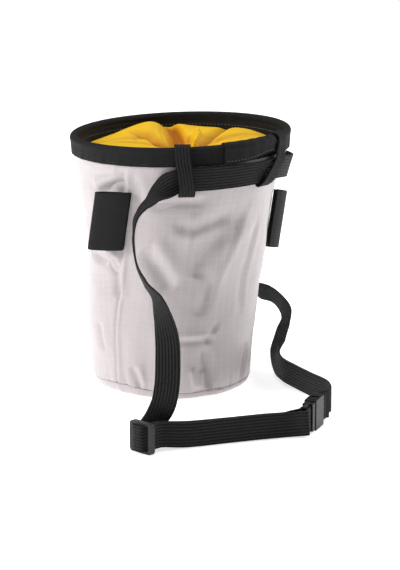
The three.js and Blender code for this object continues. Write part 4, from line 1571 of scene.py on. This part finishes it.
@dataclass(frozen=True)
class TapeJoin:
    """The tape's end laid over its start beside the right belt loop."""

    rim: RimBinding
    start: float = -9
    end: float = 25
    tape: float = 0.8
    inside_down: float = 7
    cuts: int = 70
    ease: float = 0.1
    edge: float = 0.25
    wave: float = 0.12
    wave_pace: float = 0.9
    stitch_mark: int = 2
    stitch_margin: float = 1
    line_parts: int = 300

    def line(self) -> tuple[np.ndarray, np.ndarray]:
        """Middle line of the tape's section, and its outward directions."""
        low = self.rim.section(self.rim.bag.gap, self.inside_down)
        high = self.rim.section(self.rim.bag.gap + self.tape, self.inside_down)
        return (low + high) / 2, high - low

    def build(self) -> bpy.types.Object:
        """Makes the join."""
        bag = self.rim.bag
        middle, out = self.line()
        marks = np.arange(len(middle))
        lengths = lengths_along(middle)

        def spot(x: np.ndarray, y: np.ndarray) -> tuple[np.ndarray, np.ndarray]:
            """Turn, and mark on the section, of a place in the sketch."""
            return self.start + (self.end - self.start) * y, x * (len(middle) - 1)

        def place(x: np.ndarray, y: np.ndarray) -> np.ndarray:
            """Points in millimetres for the sketch's coordinates."""
            turn, mark = spot(x, y)
            inside = np.interp(mark, marks, middle[:, 0])
            down = np.interp(mark, marks, middle[:, 1])
            wave = self.wave * np.sin(self.wave_pace * turn) * np.sin(np.pi * y)
            push_in = np.interp(mark, marks, out[:, 0]) / self.tape * wave
            push_down = np.interp(mark, marks, out[:, 1]) / self.tape * wave
            low = self.rim.raised(turn, inside, down)
            return bag.rim_spot(turn, inside + push_in, low + push_down)

        def cut(x: np.ndarray, y: np.ndarray) -> np.ndarray:
            """Flat pattern in millimetres for the sketch's coordinates."""
            turn, mark = spot(x, y)
            return np.stack([np.radians(turn) * bag.rim_radius, np.interp(mark, marks, lengths)], axis=-1)

        sketch = grid_sketch(len(middle) - 1, self.cuts)
        piece = piece_from("rim_tape_end", sketch, place, cut, False)
        tidy_faces(piece)
        thicken(piece, self.tape - self.ease, self.edge)
        return piece

    def stitches(self, row: StitchRow) -> bpy.types.Object:
        """Stitches along the tape end's lower edge."""
        bag = self.rim.bag
        middle, out = self.line()
        turn = np.linspace(self.start + self.stitch_margin, self.end - self.stitch_margin, self.line_parts)
        face = middle[self.stitch_mark] + out[self.stitch_mark] / 2
        inside, down = np.full(turn.shape, face[0]), np.full(turn.shape, face[1])
        edge = bag.rim_spot(turn, inside, self.rim.raised(turn, inside, down))
        starts, aheads = along_line(edge, row.pitch)
        outs = starts - unit(bag.side_turn) * bag.rim_shift
        outs[:, 2] = 0
        return row.build(starts, aheads, outs)


def thicken(piece: bpy.types.Object, thick: float, edge: float) -> None:
    """Gives a flat strip its thickness in millimetres, with softly rounded edges."""
    solid = piece.modifiers.new("thickness", "SOLIDIFY")
    solid.thickness = thick * MM
    solid.offset = 0
    solid.use_even_offset = True
    soft = piece.modifiers.new("soft_edges", "BEVEL")
    soft.width = edge * MM
    soft.segments = 2
    soft.limit_method = "ANGLE"
    soft.angle_limit = math.radians(EDGE_ANGLE)


@dataclass(frozen=True)
class Closure:
    """The gathered liner that twists shut inside the rim, in the viewer's plan."""

    bag: BagShape
    view_turn: float = 32
    depth: float = 12
    wall: float = 0.7
    rings: int = 96
    laps: int = 400
    knot: tuple[float, float] = (3.0, 3.0)
    knot_depth: float = 2.2
    knot_wide: float = 3.4
    gathers: float = 0.6
    gather_twist: float = 0.02
    gather_start: float = 5
    gather_reach: float = 16
    # These two set how deep the liner's painted fold shade goes.
    gather_shade_gain: float = 1.6
    shade_depth: float = 5.5
    fold_scale: float = 1.35
    fold_start: float = 5
    fold_end: float = 8
    fold_least: float = 0.15
    edge_band: float = 9
    edge_curve: float = 0.7
    ring_curve: float = 1.15
    fullness: float = 2.25

    def field(self, x: np.ndarray, y: np.ndarray) -> tuple[np.ndarray, np.ndarray]:
        """Height over the closure's edge, and how deep in a fold a place lies.

        Args:
            x: Places to the viewer's right of the rim's middle.
            y: Places away from the viewer.

        Returns:
            The heights and the depths.
        """
        reach, rise = np.array(CLOSURE_LEVELS).T
        radius = np.hypot(x, y)
        height = between(reach, rise, radius)
        edge = np.clip((self.bag.liner_radius - radius) / self.edge_band, 0, 1) ** self.edge_curve
        for puff in PUFFS:
            across, deep = bell((x - puff.x) / puff.wide), bell((y - puff.y) / puff.deep)
            height = height + puff.rise * edge * across * deep
        folds = np.zeros(x.shape)
        for fold in FOLDS:
            away, share = line_offset(x, y, rounded(fold.path))
            width = np.where(away > 0, fold.left, fold.right)
            ends = np.minimum(share * self.fold_start, (1 - share) * self.fold_end)
            ends = np.clip(ends + self.fold_least, 0, 1)
            folds = folds - self.fold_scale * fold.depth * ends * bell(away / width)
        from_knot = np.hypot(x - self.knot[0], y - self.knot[1])
        angle = np.arctan2(y - self.knot[1], x - self.knot[0]) + self.gather_twist * from_knot
        gathers = self.gathers * swell(angle, GATHER_WAVES) * np.exp(-from_knot / self.gather_reach)
        gathers = gathers * np.clip(from_knot / self.gather_start, 0, 1)
        knot = -self.knot_depth * bell(from_knot / self.knot_wide)
        total = height + edge * (folds + gathers) + knot
        # The second value is how deep in a fold a place lies; the liner's material paints it as orange
        # shade.
        return total, np.clip(-(folds + self.gather_shade_gain * gathers + knot) / self.shade_depth, 0, 1)

    def build(self) -> bpy.types.Object:
        """Makes the closure."""
        bag = self.bag
        shares = 1 - np.linspace(0, 1, self.rings) ** self.ring_curve
        radii = np.concatenate([shares[::-1], shares]) * bag.liner_radius
        upper = np.arange(len(radii)) >= self.rings
        edge_z = bag.height - self.depth

        def plan(turn: np.ndarray, level: np.ndarray) -> tuple[np.ndarray, np.ndarray, np.ndarray]:
            """Radius, and both coordinates of the viewer's plan."""
            radius = radii[level.astype(int)]
            angle = np.radians(turn + self.view_turn)
            return radius, radius * np.sin(angle), -radius * np.cos(angle)

        def place(turn: np.ndarray, level: np.ndarray) -> np.ndarray:
            """Points in millimetres for the sketch's coordinates."""
            radius, x, y = plan(turn, level)
            height, _ = self.field(x, y)
            lower = np.where(upper[level.astype(int)], 0, self.wall)
            return bag.at_rim(turn, radius, edge_z + height - lower)

        def cut(turn: np.ndarray, level: np.ndarray) -> np.ndarray:
            """Flat pattern in millimetres for the sketch's coordinates."""
            _, x, y = plan(turn, level)
            return np.stack([x, y], axis=-1)

        piece = piece_from("twisted_liner", spun_sketch(len(radii), self.laps, False), place, cut, True)
        tidy_faces(piece, MIDDLE_MERGE)
        points = points_of(piece) - unit(bag.side_turn) * bag.rim_shift
        angle = math.radians(self.view_turn)
        x = points[:, 0] * math.cos(angle) - points[:, 1] * math.sin(angle)
        y = points[:, 0] * math.sin(angle) + points[:, 1] * math.cos(angle)
        # Painted shade: the fold depth, which the liner's material turns into orange shade.
        paint(piece, "hollow", self.field(x, y)[1])
        return piece


# Straps


@dataclass
class Strap:
    """A flat strip along stations, each a point and the direction of the strip's width."""

    name: str
    points: np.ndarray
    widths: np.ndarray
    width: float
    thick: float
    square: bool = True
    across: int = 6
    step: float = 1.3
    edge: float = 0.3
    marks: np.ndarray = field(init=False)

    def __post_init__(self) -> None:
        """Spreads the marks along the strap, closer where its stations are."""
        gaps = np.linalg.norm(np.diff(self.points, axis=0), axis=1)
        parts = np.maximum(2, np.ceil(gaps / self.step)).astype(int)
        pieces = [row + np.arange(count) / count for row, count in enumerate(parts)]
        self.marks = np.concatenate(pieces + [[float(len(gaps))]])

    def span(self, mark: np.ndarray) -> tuple[np.ndarray, np.ndarray]:
        """The station before each mark, and the share of the way to the next."""
        row = np.clip(np.floor(mark).astype(int), 0, len(self.points) - 2)
        return row, (mark - row)[:, None]

    def curve(self, mark: np.ndarray) -> tuple[np.ndarray, np.ndarray]:
        """Points and directions at marks, on a curve whose pace follows the stations.

        Args:
            mark: Places counted in stations.

        Returns:
            The points and the directions.
        """
        before = 2 * self.points[0] - self.points[1]
        after = 2 * self.points[-1] - self.points[-2]
        full = np.concatenate([[before], self.points, [after]])
        row, share = self.span(mark)
        back, start, end, beyond = full[row], full[row + 1], full[row + 2], full[row + 3]
        one, two, three = pace(back, start), pace(start, end), pace(end, beyond)
        leave = ((start - back) / one - (end - back) / (one + two) + (end - start) / two) * two
        arrive = ((end - start) / two - (beyond - start) / (two + three) + (beyond - end) / three) * two
        second = -3 * start + 3 * end - 2 * leave - arrive
        third = 2 * start - 2 * end + leave + arrive
        spot = start + leave * share + second * share * share + third * share ** 3
        ahead = leave + 2 * second * share + 3 * third * share * share
        return spot, ahead / np.linalg.norm(ahead, axis=1, keepdims=True)

    def sides(self, mark: np.ndarray, ahead: np.ndarray) -> np.ndarray:
        """Directions of the width at marks."""
        row, share = self.span(mark)
        side = self.widths[row] * (1 - share) + self.widths[row + 1] * share
        if self.square:
            side = side - ahead * np.sum(side * ahead, axis=1, keepdims=True)
        return side / np.linalg.norm(side, axis=1, keepdims=True)

    def build(self) -> bpy.types.Object:
        """Makes the strap."""
        spots, aheads = self.curve(self.marks)
        sides = self.sides(self.marks, aheads)
        lengths = lengths_along(spots)
        count = len(self.marks) - 1

        def place(x: np.ndarray, y: np.ndarray) -> np.ndarray:
            """Points in millimetres for the sketch's coordinates."""
            row = np.rint(y * count).astype(int)
            return spots[row] + sides[row] * ((x - 0.5) * self.width)[:, None]

        def cut(x: np.ndarray, y: np.ndarray) -> np.ndarray:
            """Flat pattern in millimetres for the sketch's coordinates."""
            return np.stack([(x - 0.5) * self.width, lengths[np.rint(y * count).astype(int)]], axis=-1)

        piece = piece_from(self.name, grid_sketch(self.across, count), place, cut, False)
        tidy_faces(piece, STRAP_MERGE)
        thicken(piece, self.thick, self.edge)
        return piece


@dataclass(frozen=True)
class BeltLoop:
    """Webbing that goes over the rim, down round the belt and back up behind it."""

    bag: BagShape
    side: Side
    turn: float
    lean: float
    width: float = 10
    thick: float = 1.1
    droop: float = 0.8
    ease: float = 1.15
    seat: float = 0.36
    belt_width: float = 15
    belt_thick: float = 1.3
    inner_up: float = 0.3
    step: float = 0.9
    roll_angles: tuple[float, ...] = (175, 140, 105, 75, 40, 5)

    def strap(self) -> Strap:
        """The loop's strap."""
        bag = self.bag
        clear = bag.gap + self.thick / 2
        eased = clear + self.seat
        proud = self.thick + 2 * bag.gap + self.ease + self.belt_thick / 2
        roll_at = bag.rim_radius - bag.roll_radius
        wound = bag.roll_radius + eased
        inner_at = bag.rim_radius - bag.slot_in - bag.binding_leg - eased
        foot = bag.height - bag.binding_height
        points = [bag.at_rim(self.turn, inner_at, foot + self.inner_up * bag.binding_height)]
        widths = [unit(self.turn + 90)]
        for angle in np.radians(self.roll_angles):
            points.append(bag.at_rim(self.turn, roll_at + wound * math.cos(angle),
                                     bag.height - bag.roll_radius + wound * math.sin(angle)))
            widths.append(unit(self.turn + 90))
        outer = proud + self.belt_thick / 2 + clear
        low = bag.belt_z - self.belt_width / 2
        corner = 2 * self.width * math.sin(math.radians(abs(self.lean)))
        rows = (
            LoopRow(bag.rim_radius - bag.inside_rim + eased, foot + bag.binding_height / 4, 0.12),
            LoopRow(outer, foot - self.thick, 0.3),
            LoopRow(outer + self.ease, bag.belt_z, 0.65),
            LoopRow(outer + self.ease, low + self.thick, 0.95),
            LoopRow(proud, low - clear - self.droop, 1),
            LoopRow(eased + bag.gap, low - self.droop / 2, 0.98),
            LoopRow(eased, low + 3 * self.thick, 0.9),
            LoopRow(eased, bag.belt_z, 0.78),
            LoopRow(eased, foot - self.thick - corner, 0.64),
        )
        for row in rows:
            at = self.turn + self.lean * row.share
            points.append(bag.on_bag(at, row.z, row.away))
            widths.append(unit(at + 90))
        name = f"belt_loop_{self.side.name.lower()}_webbing"
        return Strap(name, np.array(points), np.array(widths), self.width, self.thick, step=self.step)


@dataclass(frozen=True)
class BrushLoop:
    """Wide elastic folded to a flat sleeve and sewn beside the side seam."""

    bag: BagShape
    side: Side
    top: float
    droop: float
    off: float
    ahead: float
    swing: float
    over: float
    height: float = 38.6
    reach: float = 24
    thick: float = 1.2
    slot: float = 2.2
    across: int = 10
    step: float = 0.8

    def edge_turn(self, z: float) -> float:
        """Turn of the sewn edge at a height."""
        up = z - (self.top - self.height)
        seam = float(self.bag.seam_turn(z))
        return self.side.value * (seam - self.ahead - self.swing * up / self.height)

    def strap(self) -> Strap:
        """The sleeve's strap."""
        bag, sign = self.bag, self.side.value
        foot = self.top - self.height
        middle = foot + self.height / 2
        seam = self.edge_turn(middle)
        start = bag.on_bag(seam, middle, bag.gap + bag.seam_ridge * self.over + self.thick / 2)
        outward, away = unit(seam), unit(seam + sign * 90)
        leave = math.atan2(self.off, self.reach)
        ahead = away * math.cos(leave) + outward * math.sin(leave)
        across = np.cross(ahead, (0, 0, 1.0))
        across = across / np.linalg.norm(across) * (1 if across @ outward > 0 else -1)
        lean = bag.on_bag(self.edge_turn(self.top), self.top) - bag.on_bag(self.edge_turn(foot), foot)
        lean = lean / np.linalg.norm(lean)
        apart = self.thick + self.slot
        points = []
        for row in SLEEVE_ROWS:
            point = start + ahead * row.along * self.reach + across * row.proud * apart
            points.append(point - np.array((0, 0, row.along * self.droop)))
        name = f"brush_loop_{self.side.name.lower()}_elastic"
        widths = np.array([lean] * len(points))
        return Strap(name, np.array(points), widths, self.height, self.thick, False, self.across, self.step)


@dataclass(frozen=True)
class PlanFrame:
    """Places along a heading and across it, at one height."""

    origin: np.ndarray
    heading: float

    def at(self, along: float, across: float) -> np.ndarray:
        """A point of this frame."""
        return self.origin + unit(self.heading) * along + unit(self.heading + 90) * across


def plan_frame(turn: float, reach: float, heading: float, height: float) -> PlanFrame:
    """A plan frame whose origin lies at a turn, a reach and a height."""
    return PlanFrame(unit(turn) * reach + np.array((0, 0, height)), heading)


@dataclass(frozen=True)
class WaistBelt:
    """The belt: one strip through slider, buckle and loops."""

    bag: BagShape
    width: float = 15
    thick: float = 1.3
    reach: float = 165
    rest: float = 0.4
    layer_pitch: float = 1.9
    bar_ease: float = 0.25
    floor_rise: float = 0.3
    slack: float = 0.4
    loop_thick: float = 1.1
    loop_ease: float = 1.15
    slider_turn: float = -37.6
    slider_heading: float = -167
    slider_bar: float = 2.6
    slider_thick: float = 3.2
    slider_height: float = 18.6
    buckle_turn: float = 0.3
    buckle_out: float = 0.914
    buckle_heading: float = 128.3
    buckle_width: float = 18.6
    buckle_bar: float = 2.4
    male_block: float = 4.3
    male_base: float = 5
    mouth_gap: float = 0.6
    housing: float = 15
    female_slot: float = 3.2
    across: int = 8
    step: float = 1.6

    @property
    def slider(self) -> PlanFrame:
        """Places on the slider."""
        return plan_frame(self.slider_turn, self.reach, self.slider_heading, self.slider_height / 2)

    @property
    def buckle(self) -> PlanFrame:
        """Places on the buckle."""
        return plan_frame(self.buckle_turn, self.reach * self.buckle_out, self.buckle_heading,
                          self.buckle_width / 2)

    def on_slider(self, rows: Sequence[Wrap], layer: int) -> list[tuple[np.ndarray, np.ndarray]]:
        """Stations of a layer round the slider's middle bar."""
        tight = self.thick / 2 + self.bag.gap
        pitch = self.thick + self.bag.gap
        side = self.slider_bar / 2 + tight + layer * pitch
        face = self.slider_thick / 2 + tight + layer * pitch
        return [self.upright(self.slider.at(row.along * side, row.across * face)) for row in rows]

    def on_bar(self, bar_at: float, sense: int) -> list[tuple[np.ndarray, np.ndarray]]:
        """Stations round a strap bar of the buckle."""
        off = self.buckle_bar / 2 + self.thick / 2 + self.bag.gap + self.bar_ease
        return [self.upright(self.buckle.at(bar_at + sense * row.along * off, row.across * off))
                for row in BAR_WRAP]

    def upright(self, point: np.ndarray) -> tuple[np.ndarray, np.ndarray]:
        """A station whose width stands up."""
        return point, np.array((0, 0, 1.0))

    def flat(self, row: Flat, inward: float, height: float) -> tuple[np.ndarray, np.ndarray]:
        """A station on the surface."""
        return self.upright(unit(row.turn) * (self.reach * row.out - inward) + np.array((0, 0, height)))

    def free(self, row: Free) -> tuple[np.ndarray, np.ndarray]:
        """A station that hangs or stands free."""
        point = unit(row.turn) * self.reach * row.out + np.array((0, 0, self.bag.height * row.up))
        rise = math.radians(row.rise)
        return point, unit(row.edge) * math.cos(rise) + np.array((0, 0, math.sin(rise)))

    def on_bag(self, row: OnBag) -> tuple[np.ndarray, np.ndarray]:
        """A station on the bag."""
        bag = self.bag
        proud = self.loop_thick + 2 * bag.gap + self.loop_ease + self.thick / 2
        z = bag.belt_z - bag.height * row.drop
        step = self.width / 4
        lean = bag.on_bag(row.turn, z + step) - bag.on_bag(row.turn, z - step)
        return bag.on_bag(row.turn, z, proud + row.proud * self.thick), lean / np.linalg.norm(lean)

    def strap(self) -> Strap:
        """The belt's strap."""
        height = self.width / 2 + self.rest
        pitch = self.thick + self.bag.gap
        inward = [2 * pitch] + [self.layer_pitch] * (len(DOUBLE_ROWS) - 1)
        mouth = self.male_block + self.male_base + self.mouth_gap
        female_bar = mouth + self.housing + self.female_slot + self.buckle_bar / 2
        rows = self.on_slider(SEWN_WRAP, 0)
        rows += [self.flat(row, away, height) for row, away in zip(DOUBLE_ROWS, inward)]
        rows += self.on_bar(0, 1)
        rows += [self.flat(row, 0, height) for row in reversed(DOUBLE_ROWS)]
        rows += self.on_slider(RUN_WRAP, 1)
        rows += [self.free(row) for row in FALL_ROWS]
        rows += [self.on_bag(row) for row in BAG_ROWS]
        rows += [self.free(row) for row in RETURN_ROWS]
        rows += [self.flat(row, 0, self.width / 2 + number * self.floor_rise)
                 for number, row in enumerate(FLOOR_ROWS)]
        rows += self.on_bar(female_bar, -1)
        points = np.array([point for point, _ in rows])
        widths = np.array([width for _, width in rows])
        return Strap("belt_strap", points, widths, self.width, self.thick, across=self.across,
                     step=self.step)


@dataclass(frozen=True)
class MouldedPart:
    """A hard part: a copy of its node with rounded edges."""

    node: str
    name: str
    edge: float = 0.35
    segments: int = 3
    flat_angle: float = 2
    sharp_angle: float = 35

    def build(self) -> bpy.types.Object:
        """Makes the part."""
        sketch = bmesh.new()
        sketch.from_mesh(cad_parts[self.node].data)
        bmesh.ops.remove_doubles(sketch, verts=sketch.verts, dist=MERGE)
        bmesh.ops.dissolve_limit(sketch, angle_limit=math.radians(self.flat_angle), verts=sketch.verts,
                                 edges=sketch.edges)
        least = math.radians(self.sharp_angle)
        closed = [edge for edge in sketch.edges if len(edge.link_faces) == 2]
        sharp = [edge for edge in closed if edge.calc_face_angle() > least]
        bmesh.ops.bevel(sketch, geom=sharp, offset=self.edge * MM, offset_type="OFFSET", affect="EDGES",
                        segments=self.segments, profile=0.5, clamp_overlap=True, material=-1)
        bmesh.ops.recalc_face_normals(sketch, faces=sketch.faces)
        for face in sketch.faces:
            face.smooth = True
        mesh = bpy.data.meshes.new(self.name)
        sketch.to_mesh(mesh)
        sketch.free()
        piece = new_object(self.name, mesh)
        flat = piece.modifiers.new("flat_faces", "WEIGHTED_NORMAL")
        flat.keep_sharp = True
        return piece


# Studio


class Lamp(NamedTuple):
    """A square light: its place and size in metres, and its power in watts."""

    name: str
    spot: tuple[float, float, float]
    size: float
    power: float


@dataclass(frozen=True)
class Studio:
    """Floor, light and camera."""

    eye: tuple[float, float, float] = (-835.7, -1370.6, 435.8)
    heading: tuple[float, float] = (0.5299, 0.848)
    pitch: float = 13.10
    lens: float = 162.34
    sensor: float = 36
    far: float = 50
    floor: float = 6
    floor_cells: int = 8
    sky: float = 0.12
    aim: tuple[float, float, float] = (0, 0, 0.08)
    lamps: tuple[Lamp, ...] = (
        Lamp("top", (0.1, 0.4, 2.0), 1.6, 27),
        Lamp("left", (-1.5, 0.4, 0.8), 0.7, 23),
        Lamp("right", (1.4, -0.35, 0.8), 0.8, 12),
    )

    def camera(self) -> None:
        """Puts the camera where the photographer stood."""
        data = bpy.data.cameras.new("photo_camera")
        data.sensor_fit = "VERTICAL"
        data.sensor_height = self.sensor
        data.lens = self.lens
        data.clip_end = self.far
        camera = new_object("photo_camera", data)
        down = math.radians(self.pitch)
        ahead, up = math.cos(down), -math.sin(down)
        look = Vector((self.heading[0] * ahead, self.heading[1] * ahead, up))
        camera.location = Vector(self.eye) * MM
        camera.rotation_euler = look.to_track_quat("-Z", "Y").to_euler()
        bpy.context.scene.camera = camera

    def light(self, lamp: Lamp) -> None:
        """Hangs a soft light that faces the bag's middle."""
        data = bpy.data.lights.new(lamp.name, "AREA")
        data.size = lamp.size
        data.energy = lamp.power
        hung = new_object(lamp.name, data)
        hung.location = lamp.spot
        aim = Vector(self.aim) - Vector(lamp.spot)
        hung.rotation_euler = aim.to_track_quat("-Z", "Y").to_euler()

    def build(self, looks: Looks) -> None:
        """Sets up the studio."""
        sketch = bmesh.new()
        bmesh.ops.create_grid(sketch, x_segments=self.floor_cells, y_segments=self.floor_cells,
                              size=self.floor / 2)
        mesh = bpy.data.meshes.new("floor")
        sketch.to_mesh(mesh)
        sketch.free()
        floor = new_object("floor", mesh)
        floor.data.materials.append(FloorFinish().material(looks))
        world = bpy.data.worlds.new("studio")
        bpy.context.scene.world = world
        world.use_nodes = True
        background = world.node_tree.nodes["Background"]
        background.inputs["Color"].default_value = WHITE
        background.inputs["Strength"].default_value = self.sky
        for lamp in self.lamps:
            self.light(lamp)
        bpy.context.scene.view_settings.view_transform = "Standard"
        self.camera()


class Finishes:
    """The materials of the whole model."""

    def __init__(self, looks: Looks) -> None:
        self.cloth = RipstopFinish().material(looks)
        self.liner = LinerFinish().material(looks)
        self.tape = TapeFinish("herringbone_tape", Pattern.HERRINGBONE, pitch=0.9, row=1.6).material(looks)
        self.tape_end = TapeFinish("tape_end", Pattern.PLAIN, pitch=0.8,
                                   relief=Relief(0.3, 0.0003)).material(looks)
        # The webbing's crests get a brighter painted highlight.
        self.webbing = TapeFinish("ribbed_webbing", Pattern.WEBBING, pitch=1.9, row=1.6,
                                  crest=(0.03, 0.03, 0.031, 1), relief=Relief(1.0, 0.0005)).material(looks)
        self.elastic = TapeFinish("woven_elastic", Pattern.ELASTIC, pitch=1.1, row=0.7,
                                  relief=Relief(0.4, 0.0003)).material(looks)
        self.plastic = PlasticFinish().material(looks)
        self.thread = ThreadFinish("black_thread", (0.035, 0.035, 0.037, 1)).material(looks)
        self.pale_thread = ThreadFinish("grey_thread", (0.11, 0.11, 0.115, 1)).material(looks)


def add_cloth(bag: BagShape, finishes: Finishes) -> None:
    """Adds body, base and liner, with the hem's stitches."""
    shell = BodyCloth(bag)
    body = shell.build()
    settle(body, finishes.cloth, Slot.RIPSTOP, "bag_body")
    hem_row = StitchRow("hem_stitches", length=1.5, thick=0.4, pitch=2.1)
    settle(shell.stitches(hem_row), finishes.thread, Slot.RIPSTOP)
    base = BasePanel(bag).build()
    settle(base, finishes.cloth, Slot.RIPSTOP, "base_panel")
    closure = Closure(bag)
    liner = closure.build()
    settle(liner, finishes.liner, Slot.LINER, "liner_closure")


def add_rim(bag: BagShape, finishes: Finishes) -> None:
    """Adds the rim's tape, its end and their stitches."""
    rim = RimBinding(bag)
    settle(rim.build(), finishes.tape, Slot.BINDING, "rim_binding")
    join = TapeJoin(rim)
    settle(join.build(), finishes.tape_end, Slot.BINDING, "rim_tape_join")
    settle(rim.stitches(StitchRow("rim_stitches_outside"), False), finishes.thread, Slot.BINDING)
    settle(rim.stitches(StitchRow("rim_stitches_inside"), True), finishes.pale_thread, Slot.BINDING)
    settle(join.stitches(StitchRow("tape_end_stitches")), finishes.pale_thread, Slot.BINDING)


def add_straps(bag: BagShape, finishes: Finishes) -> None:
    """Adds the belt loops, the sleeves and the belt."""
    loops = (BeltLoop(bag, Side.LEFT, turn=-30.5, lean=3.5, droop=2.2),
             BeltLoop(bag, Side.RIGHT, turn=30.7, lean=-11))
    for loop in loops:
        node = f"belt_loop_{loop.side.name.lower()}"
        settle(loop.strap().build(), finishes.webbing, Slot.WEBBING, node)
    sleeves = (
        BrushLoop(bag, Side.LEFT, top=134.6, droop=1.2, off=1.2, ahead=0.8, swing=3.8, over=1),
        BrushLoop(bag, Side.RIGHT, top=124.2, droop=5.5, off=7, ahead=2.6, swing=0, over=0.35),
    )
    for sleeve in sleeves:
        node = f"brush_loop_{sleeve.side.name.lower()}"
        settle(sleeve.strap().build(), finishes.elastic, Slot.ELASTIC, node)
    settle(WaistBelt(bag).strap().build(), finishes.webbing, Slot.WEBBING, "belt_webbing")


def main() -> None:
    """Builds every piece in order."""
    logging.basicConfig(level=logging.INFO, format="%(message)s")
    looks = Looks()
    Studio().build(looks)
    bag = BagShape()
    finishes = Finishes(looks)
    add_cloth(bag, finishes)
    add_rim(bag, finishes)
    add_straps(bag, finishes)
    for node in ("slider", "buckle_male", "buckle_female"):
        settle(MouldedPart(node, f"{node}_plastic").build(), finishes.plastic, Slot.PLASTIC, node)


if __name__ == "__main__":
    main()
